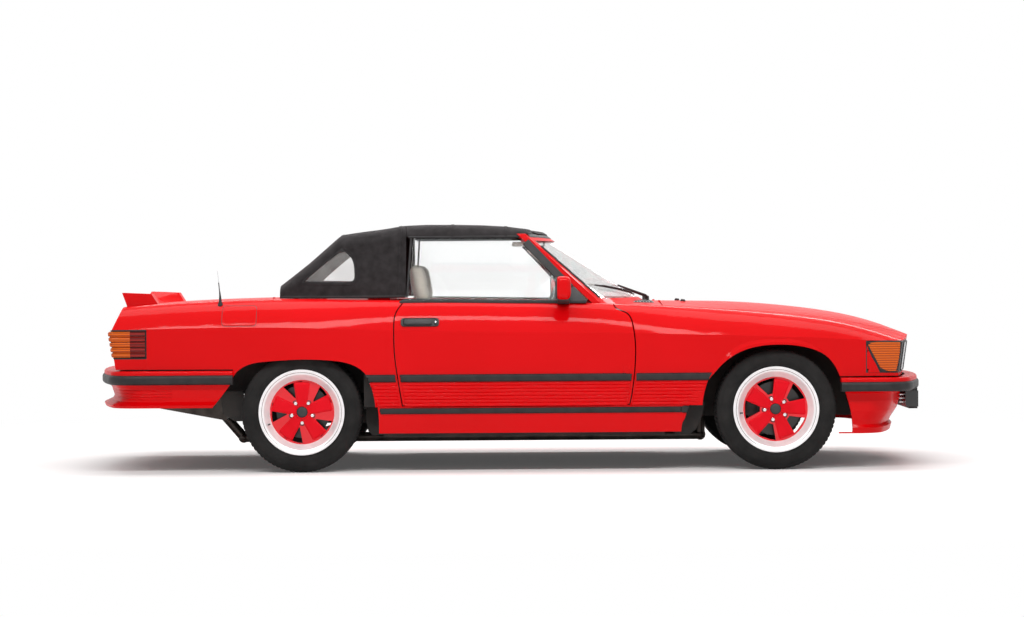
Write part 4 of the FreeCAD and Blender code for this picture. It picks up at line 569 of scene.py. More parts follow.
class Skin:
    """The outer surface of some CAD nodes, found along a ray."""

    def __init__(self, names):
        vertices, faces = [], []
        for name in names:
            mesh = NODES[name].data
            base = len(vertices)
            vertices += [v.co.copy() for v in mesh.vertices]
            faces += [tuple(base + i for i in p.vertices) for p in mesh.polygons]
        self.tree = BVHTree.FromPolygons(vertices, faces)

    def cast(self, start, direction):
        point, normal, _, _ = self.tree.ray_cast(Vector(start), Vector(direction))
        if point is not None and normal.dot(Vector(direction)) > 0:
            normal = -normal
        return point, normal

    def side(self, x, z, side):
        """The body's side at a place along the car and a height."""
        return self.cast((x, side * SIDE_START, z), (0, -side, 0))

    def top(self, x, y):
        return self.cast((x, y, TOP_START), (0, 0, -1))

    def nose(self, y, z):
        return self.cast((NOSE_START, y, z), (-1, 0, 0))


def spread(low, high, count):
    return [low + (high - low) * i / (count - 1) for i in range(count)]


# Wheels: tyres with their tread, spoke faces, bolts and caps.

TYRE_WALL = [
    (0.2045, 0.0970), (0.2222, 0.0970), (0.2240, 0.0990), (0.2275, 0.1050), (0.2325, 0.1064),
    (0.2340, 0.1056), (0.2355, 0.1070), (0.2460, 0.1106), (0.2475, 0.1097), (0.2490, 0.1110),
    (0.2670, 0.1124), (0.2800, 0.1108), (0.2812, 0.1097), (0.2825, 0.1102), (0.2930, 0.1060),
    (0.3010, 0.1020), (0.3060, 0.0975),
]
TREAD = [
    (0.3095, 0.0915), (0.3115, 0.0860), (0.3118, 0.0780), (0.3120, 0.0680), (0.3120, 0.0610),
    (0.3058, 0.0602), (0.3058, 0.0528), (0.3120, 0.0520), (0.3120, 0.0400), (0.3120, 0.0290),
    (0.3058, 0.0282), (0.3058, 0.0208), (0.3120, 0.0200), (0.3120, 0.0080),
]
TYRE_LINING = [
    (0.2045, -0.0720), (0.2360, -0.0850), (0.2980, -0.0750), (0.2980, 0.0750), (0.2360, 0.0850),
    (0.2045, 0.0720),
]
TREAD_PITCHES = 78
STEPS_A_PITCH = 4
TREAD_SKEW = 0.7
SHOULDER_GROOVE = 0.0052
SIPE = 0.0035


def wheel_corners():
    for end, x in (("front", FRONT_AXLE), ("rear", REAR_AXLE)):
        for label, side in SIDES:
            yield f"{end}_{label}", side, Vector((x, side * WHEEL_Y, AXLE_Z))


def tread_depth(step, offset):
    """How deep a cross groove of the tread is at one step round the tyre."""
    place = step % STEPS_A_PITCH
    if 0.060 < offset < 0.093 and place == 0:
        return SHOULDER_GROOVE
    if 0.028 < offset < 0.053 and place == 2:
        return SIPE
    return 0.0


def tyre(corner, side, centre):
    """Tyre with four grooves round it, skewed cross grooves and a ridged side wall."""
    outer = TYRE_WALL + TREAD
    profile = outer + [(r, -offset) for r, offset in reversed(outer)] + TYRE_LINING
    steps = TREAD_PITCHES * STEPS_A_PITCH
    rows = []
    for step in range(steps):
        row = []
        for radius, offset in profile:
            grooved = radius > 0.308
            depth = tread_depth(step, abs(offset)) if grooved else 0.0
            angle = 2 * math.pi * step / steps + TREAD_SKEW * abs(offset)
            length = radius - depth
            row.append((
                centre.x + length * math.cos(angle),
                centre.y + side * offset,
                centre.z + length * math.sin(angle),
            ))
        rows.append(row)
    body = f"wheel_{corner}_body"
    return sharpen(loft(f"road_tyre_{corner}", rows, "tyre", body, loop=True, caps=False), 28)


def on_wheel(centre, side, angle, radius, out):
    """A place on a wheel's face, by angle in degrees, radius and distance outwards."""
    a = math.radians(angle)
    return Vector((centre.x + radius * math.cos(a), centre.y + side * out, centre.z + radius * math.sin(a)))


SPOKE_TURNS = {"front_right": 76, "rear_right": 90, "front_left": 104, "rear_left": 90}
FACE_OUT = 0.061
RIDGE_OUT = 0.0665


def spoke_ridges(corner, side, centre):
    """Raised middles of the five spokes, with sloped flanks, running out of the hub's ring."""
    vertices, faces = [], []
    stations = [(0.034, 0.019), (0.060, 0.022), (0.100, 0.027), (0.146, 0.034), (0.157, 0.035)]
    for turn in range(5):
        angle = SPOKE_TURNS[corner] + 72 * turn
        a = math.radians(angle)
        along = Vector((math.cos(a), 0, math.sin(a)))
        across = Vector((-math.sin(a), 0, math.cos(a)))
        base = len(vertices)
        for i, (radius, half) in enumerate(stations):
            high = FACE_OUT - 0.001 if i == len(stations) - 1 else RIDGE_OUT
            for width, out in (
                (-half - 0.009, FACE_OUT - 0.001), (-half, high), (half, high),
                (half + 0.009, FACE_OUT - 0.001),
            ):
                at = centre + along * radius + across * width
                vertices.append((at.x, centre.y + side * out, at.z))
        for i in range(len(stations) - 1):
            for j in range(3):
                k = base + 4 * i + j
                faces.append((k, k + 1, k + 5, k + 4))
    made = piece(f"spoke_faces_{corner}", vertices, faces, "wheel_red", f"wheel_{corner}_body")
    return rounded(sharpen(made, 20), 0.0012, 2)


BOLT_HEAD = [(0.0098, 0.060), (0.0098, 0.0705), (0.0080, 0.0722), (0.0030, 0.0724)]
# Dark rings round each bolt head: painted shade of the bolt recesses.
BOLT_SHADE_RING = [(0.0105, 0.0614), (0.0145, 0.0620), (0.0158, 0.0606)]


def add_rings(vertices, faces, middle, side, profile, count):
    """Adds rings of (radius, distance outwards) round a place on a wheel's face."""
    base = len(vertices)
    for radius, out in profile:
        for c, s in circle(count):
            vertices.append((middle.x + radius * c, middle.y + side * out, middle.z + radius * s))
    for i, j, k, m in sheet_faces(len(profile), count, ring=True):
        faces.append((base + i, base + j, base + k, base + m))


def wheel_trim(corner, side, centre):
    body = f"wheel_{corner}_body"
    cap = [(0.0, 0.0715), (0.016, 0.0712), (0.024, 0.0700), (0.0275, 0.0672), (0.0285, 0.0600)]
    turned(f"hub_cap_{corner}", cap, centre, "plastic", body, 40, side)
    collar = [(0.0290, 0.0600), (0.0292, 0.0690), (0.0330, 0.0700), (0.0365, 0.0668), (0.0370, 0.0600)]
    turned(f"hub_collar_{corner}", collar, centre, "wheel_red", body, 40, side)
    vertices, faces, dark, dark_faces = [], [], [], []
    for turn in range(5):
        middle = on_wheel(centre, side, SPOKE_TURNS[corner] + 36 + 72 * turn, 0.056, 0)
        add_rings(vertices, faces, middle, side, BOLT_HEAD, 6)
        faces.append(tuple(len(vertices) - 6 + k for k in range(6)))
        add_rings(dark, dark_faces, middle, side, BOLT_SHADE_RING, 24)
    rounded(piece(f"wheel_bolts_{corner}", vertices, faces, "bright", body, False), 0.0007, 2)
    # Dark rings round the bolts, painted shade of their recesses.
    piece(f"bolt_shade_rings_{corner}", dark, dark_faces, "plastic", body)
    root = on_wheel(centre, side, SPOKE_TURNS[corner] + 110, 0.186, 0.078)
    tip = on_wheel(centre, side, SPOKE_TURNS[corner] + 110, 0.176, 0.100)
    valve = [root + (tip - root) * t for t in (0, 0.3, 0.32, 0.7, 0.72, 1.0)]
    tube(f"valve_{corner}", valve, [0.005, 0.0045, 0.003, 0.003, 0.0042, 0.0042], "plastic", body, 10)


def wheels():
    for corner, side, centre in wheel_corners():
        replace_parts(tyre(corner, side, centre), f"tyre_{corner}")
        spoke_ridges(corner, side, centre)
        wheel_trim(corner, side, centre)


# Side mouldings, each on the body that carries it.

BROW_RADIUS = 0.385
EDGE_SUNK = -0.002


def reach(skin, side, start, z, step):
    """How far the skin goes from a place on it, along the car, at one height."""
    x = start
    while abs(x - start) < 1.6 and skin.side(x + step, z, side)[0] is not None:
        x += step
    return x


def side_depth(skin, x, z, side):
    """The side's y at a place, or at the nearest height that has a skin."""
    for shift in (0, 0.004, -0.004, 0.008, -0.008, 0.012, -0.012, 0.018, -0.018):
        point, _ = skin.side(x, z + shift, side)
        if point is not None:
            return point.y
    return None


def brow_x(axle, z, toward):
    """Where a wheel arch's upper line crosses a height."""
    rise = max(-BROW_RADIUS, min(BROW_RADIUS, z - AXLE_Z))
    return axle + toward * math.sqrt(BROW_RADIUS ** 2 - rise ** 2)


def side_sheet(name, skin, side, profile, ends, look, body, count=30):
    """A moulding carried along the side: profile of (height, proud), ends as x at a height."""
    shares = [0.0, 0.004, 0.02] + spread(0.05, 0.95, count) + [0.98, 0.996, 1.0]
    rows = []
    for share in shares:
        row = []
        for z, proud in profile:
            x0, x1 = ends(z)
            x = x0 + share * (x1 - x0)
            y = side_depth(skin, x, z, side)
            if y is None:
                y = row[-1][1] if row else side * 0.88
                row.append((x, y, z))
                continue
            rise = EDGE_SUNK if share in (0.0, 1.0) else proud
            row.append((x, y + side * rise, z))
        rows.append(row)
    return sharpen(loft(name, rows, look, body, ring=False), 50)


def crown(low, high, proud, steps=8, power=0.3):
    """Profile of a moulding that bulges between two heights."""
    made = [(low, EDGE_SUNK)]
    for k in range(1, steps):
        t = k / steps
        made.append((low + t * (high - low), proud * (4 * t * (1 - t)) ** power))
    return made + [(high, EDGE_SUNK)]


def ribs(low, high, count, proud):
    """Profile of a panel of rounded ribs with narrow grooves."""
    pitch = (high - low) / count
    made = [(low, EDGE_SUNK), (low + 0.001, 0.002)]
    for k in range(count):
        foot = low + k * pitch
        for t, rise in ((0.10, 0.001), (0.20, 0.7), (0.40, 0.95), (0.60, 1.0), (0.82, 0.95), (0.92, 0.6)):
            made.append((foot + t * pitch, max(0.001, proud * rise)))
    return made + [(high - 0.001, 0.002), (high, EDGE_SUNK)]


UPPER_STRIP = (0.466, 0.507)
RIB_PANEL = (0.338, 0.464)
SILL_STRIP = (0.300, 0.333)


def side_mouldings():
    """Rubber strips and the ribbed panel between the wheel arches, on wings, doors and sills."""
    for label, side in SIDES:
        door = Skin([f"door_{label}"])
        wing = Skin(["front_wings"])
        quarter = Skin(["rear_quarters"])
        sill = Skin(["sills"])

        def door_ends(z):
            inside = max(z, 0.352)
            return reach(door, side, 0, inside, -0.004) + 0.007, reach(door, side, 0, inside, 0.004) - 0.007

        def wing_ends(z):
            return reach(wing, side, 0.85, z, -0.004) + 0.006, brow_x(FRONT_AXLE, z, -1)

        def quarter_ends(z):
            return brow_x(REAR_AXLE, z, 1), reach(quarter, side, -0.68, z, 0.004) - 0.006

        def sill_ends(z):
            return reach(sill, side, 0, z, -0.004) + 0.006, reach(sill, side, 0, z, 0.004) - 0.006

        strip = crown(*UPPER_STRIP, 0.013)
        panel = ribs(*RIB_PANEL, 7, 0.0055)
        for part, skin, ends, body, count in (
            ("door", door, door_ends, f"door_{label}_body", 30),
            ("wing", wing, wing_ends, "body", 12),
            ("quarter", quarter, quarter_ends, "body", 6),
        ):
            side_sheet(f"side_strip_{part}_{label}", skin, side, strip, ends, "rubber", body, count)
            side_sheet(f"ribbed_panel_{part}_{label}", skin, side, panel, ends, "red", body, count)
        side_sheet(
            f"sill_strip_{label}", sill, side, crown(*SILL_STRIP, 0.009), sill_ends, "rubber", "body", 30,
        )


# Pads that lie on the skin: outlines in two coordinates, laid on the surface by rays.


def rounded_outline(low, high, radius, inset=0.0, steps=4):
    """Points round a rectangle with round corners, drawn in by an inset."""
    u0, v0 = low[0] + inset, low[1] + inset
    u1, v1 = high[0] - inset, high[1] - inset
    r = max(0.0005, min(radius - inset, (u1 - u0) / 2.001, (v1 - v0) / 2.001))
    corners = ((u1 - r, v1 - r, 0), (u0 + r, v1 - r, 90), (u0 + r, v0 + r, 180), (u1 - r, v0 + r, 270))
    points = []
    for u, v, turn in corners:
        for k in range(steps + 1):
            a = math.radians(turn + 90 * k / steps)
            points.append((u + r * math.cos(a), v + r * math.sin(a)))
    return points


def divided(points, step):
    """A closed outline with extra points on its long runs."""
    made = []
    for i, (u0, v0) in enumerate(points):
        u1, v1 = points[(i + 1) % len(points)]
        parts = max(1, int(math.hypot(u1 - u0, v1 - v0) / step))
        made += [(u0 + (u1 - u0) * k / parts, v0 + (v1 - v0) * k / parts) for k in range(parts)]
    return made


def centre_of(points):
    return sum(p[0] for p in points) / len(points), sum(p[1] for p in points) / len(points)


def shrunk(points, share):
    """An outline drawn towards its middle by a share."""
    cu, cv = centre_of(points)
    return [(u + (cu - u) * share, v + (cv - v) * share) for u, v in points]


def laid(place, outline, rise):
    """An outline's points on a surface, each raised along its normal."""
    made = []
    for u, v in outline:
        point, normal = place(u, v)
        made.append(None if point is None else point + normal * rise)
    for i, at in enumerate(made):
        if at is None:
            near = [
                made[(i + k) % len(made)]
                for k in range(-6, 7) if made[(i + k) % len(made)] is not None
            ]
            made[i] = near[0] if near else Vector((0, 0, 0))
    return made


def pad(name, place, outline, layers, look, body, filled=True):
    """A pad from layers of (share drawn in, height over the surface), outermost first."""
    rows = [laid(place, shrunk(outline, share), rise) for share, rise in layers]
    faces = sheet_faces(len(rows), len(outline), ring=True)
    if filled:
        last = (len(rows) - 1) * len(outline)
        faces.append(tuple(last + j for j in range(len(outline))))
    return sharpen(piece(name, [p for row in rows for p in row], faces, look, body), 35)


def on_side(skin, side):
    def place(x, z):
        return skin.side(x, z, side)
    return place


def on_nose(skin, side):
    def place(y, z):
        return skin.nose(side * y, z)
    return place


CORNER_LAMP = [
    (1.833, 0.664), (1.870, 0.578), (1.915, 0.505), (1.930, 0.499), (1.998, 0.499), (2.012, 0.560),
    (2.019, 0.613), (2.022, 0.658),
]


def door_handle(label, side, skin, body):
    """Black handle: a shell round a flap that is pulled, and a round lock."""
    place = on_side(skin, side)
    shell = divided(rounded_outline((-0.564, 0.753), (-0.367, 0.795), 0.014), 0.02)
    pad(
        f"handle_shell_{label}", place, shell,
        [(0, -0.002), (0, 0.005), (0.04, 0.0075), (0.10, 0.0075), (0.16, 0.003), (0.9, 0.003)], "plastic",
        body,
    )
    flap = divided(rounded_outline((-0.548, 0.760), (-0.402, 0.786), 0.010), 0.02)
    pad(
        f"handle_flap_{label}", place, flap,
        [(0, 0.002), (0, 0.010), (0.05, 0.0125), (0.35, 0.0145), (0.9, 0.015)], "plastic", body,
    )
    lock = rounded_outline((-0.393, 0.764), (-0.375, 0.782), 0.009, steps=6)
    pad(
        f"handle_lock_{label}", place, lock, [(0, 0.002), (0, 0.009), (0.2, 0.010), (0.9, 0.010)],
        "plastic", body,
    )
    core = rounded_outline((-0.3885, 0.7685), (-0.3795, 0.7775), 0.0045, steps=6)
    pad(
        f"handle_key_{label}", place, core, [(0, 0.009), (0, 0.0105), (0.3, 0.0112), (0.9, 0.0112)],
        "bright", body,
    )


def fuel_flap():
    """Closed flap on the right rear quarter, with its dark joint."""
    skin = Skin(["rear_quarters"])
    place = on_side(skin, RIGHT)
    joint = divided(rounded_outline((-1.491, 0.760), (-1.310, 0.866), 0.018), 0.015)
    pad(
        "fuel_flap_joint", place, joint,
        [(0, -0.001), (0, 0.0004), (0.05, 0.0004), (0.3, 0.0004), (0.3, -0.001)], "plastic", "body", False,
    )
    flap = divided(rounded_outline((-1.4885, 0.7625), (-1.3125, 0.8635), 0.016), 0.015)
    layers = raised(0.0012, 0.0018, [0.02] + [k / 8 for k in range(1, 8)] + [0.95])
    pad("fuel_flap", place, flap, layers, "red", "body")


def antenna():
    """Whip on the right rear wing: black foot and lower rod, bright upper rod."""
    skin = Skin(["rear_quarters"])
    root, _ = skin.top(-1.504, -0.775)
    x, y, z = root
    foot = [
        (x, y, z - 0.01), (x, y, z + 0.004), (x, y, z + 0.012), (x - 0.001, y, z + 0.045),
        (x - 0.003, y, z + 0.07),
    ]
    tube("antenna_foot", foot, [0.013, 0.013, 0.0085, 0.005, 0.003], "rubber", "body", 16)
    tube(
        "antenna_rod", [(x - 0.002, y, z + 0.05), (x - 0.008, y, z + 0.115)], 0.0026, "plastic", "body", 10,
    )
    tube(
        "antenna_whip", [(x - 0.008, y, z + 0.112), (x - 0.014, y, z + 0.172), (x - 0.0142, y, z + 0.176)],
        [0.0015, 0.0013, 0.0022], "bright", "body", 10,
    )


# Lamps.


def headlamp_details(label, side):
    """Dark surround and fluted lens with a bar down its middle."""
    front = on_nose(Skin(["headlamps"]), side)
    lens = divided(rounded_outline((0.436, 0.506), (0.762, 0.655), 0.012), 0.012)
    layers = [(0.0, -0.001), (0.0, 0.004), (0.012, 0.0055), (0.03, 0.004), (0.035, 0.0005)]
    pad(f"headlamp_surround_{label}", front, lens, layers, "plastic", "body", False)
    rows = []
    columns = 132
    for v in spread(0.510, 0.651, 12):
        row = []
        for k, u in enumerate(spread(0.441, 0.757, columns)):
            point, normal = front(u, v)
            if point is None:
                row.append(rows[-1][k] if rows else Vector((2.07, side * u, v)))
                continue
            flute = 0.0011 * abs(math.sin(math.pi * k / 3))
            row.append(point + normal * (0.0018 + flute))
        rows.append(row)
    loft(f"headlamp_lens_{label}", rows, "lamp", "body", ring=False)
    bar = divided(rounded_outline((0.596, 0.508), (0.604, 0.653), 0.002), 0.012)
    pad(f"headlamp_bar_{label}", front, bar, [(0, 0.001), (0, 0.0042), (0.5, 0.0046)], "plastic", "body")


def corner_lamp(label, side):
    """Amber lens round the front corner, with its seal."""
    flank = on_side(Skin(["headlamps"]), side)
    seal = divided(CORNER_LAMP, 0.012)
    pad(
        f"corner_seal_{label}", flank, shrunk(seal, -0.03),
        [(0, -0.002), (0, 0.003), (0.05, 0.0042), (0.09, 0.003), (0.10, 0.001)], "rubber", "body", False,
    )
    rows = []
    for t in spread(0.0, 1.0, 25):
        z = 0.503 + t * 0.156
        x0 = 1.840 + max(0.0, (0.659 - z)) * 0.54
        x1 = min(2.016, 2.016 - max(0.0, 0.60 - z) * 0.15)
        row = []
        for x in spread(x0, x1, 30):
            point, normal = flank(x, z)
            if point is None:
                point, normal = Vector((x, side * 0.80, z)), Vector((0, side, 0))
            step = 0.0016 * abs(math.sin(math.pi * t * 12))
            row.append(point + normal * (0.0022 + step))
        rows.append(row)
    loft(f"corner_lens_{label}", rows, "amber", "body", ring=False)


TAIL_AXIS = (-1.930, 0.690)


def round_tail(side):
    """Places on a tail lamp, by angle round an upright line inside it and by height."""
    skin = Skin(["tail_lamps"])
    ax, ay = TAIL_AXIS

    def place(angle, z):
        a = math.radians(angle)
        direction = Vector((math.cos(a), side * math.sin(a), 0))
        start = Vector((ax, side * ay, z)) + direction
        return skin.cast(start, -direction)
    return place


def tail_lens(label, side):
    """Five thick ribs of lens wrapped round the tail's corner, amber between two red parts."""
    place = round_tail(side)
    ax, ay = TAIL_AXIS
    low, high, count = 0.601, 0.737, 5
    pitch = (high - low) / count
    angles = spread(74.0, 234.0, 66)
    profile = [(low, -0.001)]
    for k in range(count):
        foot = low + k * pitch
        for t, rise in ((0.04, 0.001), (0.16, 0.0085), (0.5, 0.0105), (0.80, 0.0085), (0.93, 0.001)):
            profile.append((foot + t * pitch, rise))
    profile.append((high, -0.001))
    for part, look, lo, hi in (
        ("front", "tail_red", 0, 13), ("amber", "amber", 12, 28), ("rear", "tail_red", 27, 66),
    ):
        rows = []
        for angle in angles[lo:hi]:
            row = []
            for z, rise in profile:
                point, normal = place(angle, z)
                if point is None:
                    point, normal = place(angle, min(max(z, 0.606), 0.73))
                if point is None:
                    row.append(row[-1] if row else Vector((ax, side * ay, z)))
                    continue
                row.append(point + normal * rise)
            rows.append(row)
        sharpen(loft(f"tail_lens_{part}_{label}", rows, look, "body", ring=False), 50)


def tail_seal(label, side):
    """Rubber round the whole tail lamp."""
    place = round_tail(side)
    ax, ay = TAIL_AXIS
    outline = [(a, 0.597) for a in spread(72.5, 235.0, 40)] + [(a, 0.741) for a in spread(235.0, 72.5, 40)]
    rows = []
    for shrink, rise in ((0.0, -0.001), (0.0, 0.0035), (0.5, 0.005), (1.0, 0.0035), (1.0, 0.0)):
        row = []
        for a, z in outline:
            inner = 0.004 * shrink * (1 if z < 0.66 else -1)
            point, normal = place(a, z + inner)
            if point is None:
                point, normal = place(min(max(a, 75), 232), min(max(z + inner, 0.602), 0.735))
            row.append(point + normal * rise if point is not None else Vector((ax, side * ay, z)))
        rows.append(row)
    sharpen(loft(f"tail_seal_{label}", rows, "rubber", "body", caps=False), 40)


def fog_lamp_details(label, side):
    """Round-edged glass of a fog lamp and the small bars that hold it."""
    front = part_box("fog_lamps")[1].x
    outline = divided(rounded_outline((0.332, 0.309), (0.418, 0.381), 0.012), 0.01)
    rows = [
        [(front + out, side * u, v) for u, v in shrunk(outline, share)]
        for share, out in ((-0.04, -0.004), (-0.02, 0.0), (0.05, 0.0012), (0.12, -0.0005))
    ]
    sharpen(loft(f"fog_lamp_rim_{label}", rows, "plastic", "body", caps=False), 40)
    vertices = []
    shares = (0.10, 0.3, 0.6, 0.95)
    for share in shares:
        for u, v in shrunk(outline, share):
            bulge = 0.002 * (1 - (1 - share) ** 2)
            vertices.append((front - 0.0012 + bulge, side * u, v))
    faces = sheet_faces(len(shares), len(outline), ring=True)
    faces.append(tuple((len(shares) - 1) * len(outline) + k for k in range(len(outline))))
    piece(f"fog_lamp_glass_{label}", vertices, faces, "lamp", "body")
    for z in (0.325, 0.345, 0.365):
        tube(
            f"fog_lamp_bar_{label}_{int(z * 1000)}", [(2.075, side * 0.375, z), (2.102, side * 0.375, z)],
            0.0045, "bright", "body", 10,
        )


# Grille, bumpers and aprons.


SLAT_SECTION = [(0.004, -0.003), (0.0075, 0.0), (0.004, 0.004), (-0.004, 0.004), (-0.004, -0.003)]
APRON_RIB_SECTION = [(-0.001, -0.0045), (0.0028, -0.002), (0.0028, 0.002), (-0.001, 0.0045)]


def grille_slats():
    """Cross slats over the grille, with three posts that hold them."""
    skin = Skin(["grille"])
    for i, z in enumerate(spread(0.512, 0.640, 6)):
        rows = []
        for y in spread(-0.415, 0.415, 49):
            point, _ = skin.nose(y, z)
            x = 2.085 - 0.11 * (y / 0.84) ** 2 if point is None else point.x
            rows.append([(x + dx, y, z + dz) for dx, dz in SLAT_SECTION])
        sharpen(loft(f"grille_slat_{i}", rows, "black", "body"), 40)
    for i, y in enumerate((-0.21, 0.0, 0.21)):
        point, _ = skin.nose(y, 0.575)
        x = 2.085 if point is None else point.x
        block(
            f"grille_post_{i}", (x - 0.004, y - 0.003, 0.495), (x + 0.003, y + 0.003, 0.655), "black",
            "body", 0.001,
        )


def bumper_joints():
    """Thin dark joints where the rubber strips turn the corners."""
    for label, side in SIDES:
        for end, x in (("front", 2.03), ("rear", -2.03)):
            skin = Skin(["bumpers"])
            heights = spread(0.462, 0.506, 9)
            rows = []
            for dx in (-0.0012, 0.0, 0.0012):
                row = []
                for z in heights:
                    point, normal = skin.side(x + dx, z, side)
                    if point is None:
                        continue
                    row.append(point + normal * (0.0008 if dx == 0.0 else -0.0004))
                rows.append(row)
            if min(len(row) for row in rows) == len(heights):
                loft(f"bumper_joint_{end}_{label}", rows, "plastic", "body", ring=False)


def apron_details(label, side):
    """Ribs in the recess of the rear apron's sides."""
    skin = Skin(["aprons"])
    for i, z in enumerate(spread(0.385, 0.430, 4)):
        rows = []
        for x in spread(-2.07, -1.75, 30):
            point, _ = skin.side(x, z, side)
            if point is None:
                continue
            rows.append([(x, point.y + side * out, z + dz) for out, dz in APRON_RIB_SECTION])
        if len(rows) > 3:
            loft(f"rear_apron_rib_{i}_{label}", rows, "red", "body", ring=False)


# Wipers, and strips along the glass.


def wiper(label, side, root, tip, blade_low, blade_high):
    """Arm on a spindle, with a blade that lies on the windscreen."""
    skin = Skin(["windscreen_glass"])

    def lift(point, rise):
        x, y, z = point
        found, normal = skin.cast((x + 1.0, y, z), (-1, 0, 0))
        if found is None:
            return Vector(point)
        return found + normal * rise

    tube(
        f"wiper_spindle_{label}",
        [Vector(root) - Vector((0, 0, 0.012)), Vector(root) + Vector((0, 0, 0.018))], [0.012, 0.010],
        "plastic", "body", 16,
    )
    arm = [
        Vector(root) + Vector((0, 0, 0.012)), Vector(root) + Vector((-0.01, side * 0.03, 0.022)),
        lift(tip, 0.022), lift(tip, 0.012),
    ]
    tube(f"wiper_arm_{label}", arm, [0.008, 0.0065, 0.004, 0.003], "plastic", "body", 8)
    points = [
        lift([a + (b - a) * t for a, b in zip(blade_low, blade_high)], 0.007)
        for t in spread(0.0, 1.0, 14)
    ]
    tube(f"wiper_blade_{label}", points, 0.0035, "rubber", "body", 8)
    holder = [
        lift([a + (b - a) * t for a, b in zip(blade_low, blade_high)], 0.013)
        for t in spread(0.12, 0.88, 10)
    ]
    tube(f"wiper_holder_{label}", holder, 0.003, "plastic", "body", 8)


def wipers():
    for label, side in SIDES:
        root, tip = (0.742, side * 0.16, 0.880), (0.60, side * 0.36, 0.940)
        wiper(label, side, root, tip, (0.70, side * 0.14, 0.902), (0.52, side * 0.60, 0.955))


STRIP_SECTION = [(-0.5, -0.5), (-0.5, 0.25), (-0.25, 0.5), (0.25, 0.5), (0.5, 0.25), (0.5, -0.5)]


def strip_along(name, points, width, height, across, look, body):
    """A flat rounded strip along a path; across points over its width."""
    wide = Vector(across).normalized()
    rows = []
    for i, here in enumerate(points):
        run = (points[min(i + 1, len(points) - 1)] - points[max(i - 1, 0)]).normalized()
        flat = (wide - run * wide.dot(run)).normalized()
        up = run.cross(flat).normalized()
        rows.append([here + flat * width * u + up * height * v for u, v in STRIP_SECTION])
    return sharpen(loft(name, rows, look, body), 55)


# Fabric top: one cloth over the bows, cut out for its clear panes, with seams and hems.

REAR_BASE, ROOF_BASE = 0.885, 1.150
REAR_FOOT, ROOF_FOOT = 0.901, 1.2195
FAN_HALF = 0.60
TOP_BOWS = (-0.880, -0.450, -0.020, 0.200)
PANE_SINK = 0.003
CLOTH_THICKNESS = 0.003


class TopSkin:
    """The fabric top's outer surface, carried on over its panes."""

    def __init__(self):
        self.cloth = Skin(["soft_top"])
        self.panes = Skin(["soft_top_windows"])

    def cast(self, start, direction):
        found, normal = self.cloth.cast(start, direction)
        pane, pane_normal = self.panes.cast(start, direction)
        if pane is not None:
            start = Vector(start)
            if found is None or (pane - start).length < (found - start).length:
                return pane + pane_normal * PANE_SINK, pane_normal
        return found, normal

    def polar(self, x, angle, base):
        """The place where one ray of a fan meets the cloth; its angle is 0 at the right side."""
        direction = Vector((0, -math.cos(angle), math.sin(angle)))
        target = Vector((x, -FAN_HALF * math.cos(angle), base))
        return self.cast(target + direction * 1.2, -direction)


def base_of(foot):
    """Height of the point that the fan's rays start from, for one of the two lower edges."""
    return REAR_BASE if foot == REAR_FOOT else ROOF_BASE


def lowest_angle(skin, x, foot):
    """The angle at which the cloth's lower edge lies at one station."""
    base = base_of(foot)
    step = math.radians(1.0)
    angle = 0.0
    while angle < math.radians(89):
        point, _ = skin.polar(x, angle, base)
        if point is not None and point.z >= foot:
            break
        angle += step
    else:
        return None
    if angle == 0.0:
        return angle
    low, high = angle - step, angle
    for _ in range(12):
        middle = (low + high) / 2
        point, _ = skin.polar(x, middle, base)
        if point is not None and point.z >= foot:
            high = middle
        else:
            low = middle
    return high


def sag(x, share):
    """How far the cloth hangs in between its bows."""
    for a, b in zip(TOP_BOWS, TOP_BOWS[1:]):
        if a <= x <= b:
            t = (x - a) / (b - a)
            return 0.0035 * math.sin(math.pi * t) ** 2 * math.sin(math.pi * share)
    return 0.0


def folds(point):
    """Slight waves in the cloth, most of them near its lower edge."""
    low = max(0.0, 1.0 - (point.z - 0.90) / 0.18)
    wave = noise.noise(Vector((point.x * 9.0, point.y * 3.0, point.z * 5.0)))
    fine = noise.noise(Vector((point.x * 34.0, point.y * 12.0, point.z * 12.0 + 7.0)))
    return 0.0010 * wave + (0.0022 * wave + 0.0008 * fine) * low


def cloth_rows(skin, stations, columns, foot):
    rows = []
    base = base_of(foot)
    for x in stations:
        first = lowest_angle(skin, x, foot)
        if first is None:
            continue
        row = []
        for k in range(columns):
            share = k / (columns - 1)
            angle = first + share * (math.pi - 2 * first)
            point, normal = skin.polar(x, angle, base)
            if point is None:
                point, normal = skin.polar(x, angle + (0.004 if share < 0.5 else -0.004), base)
            if point is None:
                row.append(row[-1] if row else Vector((x, 0, foot)))
                continue
            row.append(point - normal * (CLOTH_THICKNESS * 0.2 + sag(x, share) + folds(point)))
        rows.append(row)
    return rows


def cubic(p, q, r, s, t):
    """A value between q and r on a smooth curve through four values."""
    bend = 2 * p - 5 * q + 4 * r - s
    twist = 3 * q - p - 3 * r + s
    return 0.5 * (2 * q + (r - p) * t + bend * t * t + twist * t ** 3)


def curve_through(points, parts=8):
    """Points of a smooth curve through some points."""
    made = []
    for i in range(len(points) - 1):
        a = points[max(0, i - 1)]
        b, c = points[i], points[i + 1]
        d = points[min(len(points) - 1, i + 2)]
        for k in range(parts):
            t = k / parts
            made.append(tuple(cubic(p, q, r, s, t) for p, q, r, s in zip(a, b, c, d)))
    return made + [points[-1]]


QUARTER_PANE = [
    (-1.085, 0.985), (-0.990, 1.068), (-0.880, 1.158), (-0.838, 1.130), (-0.812, 1.085),
    (-0.806, 1.009), (-0.822, 0.984), (-0.860, 0.979),
]


def quarter_outline():
    return curve_through(QUARTER_PANE[:3]) + curve_through(QUARTER_PANE[2:])[1:]


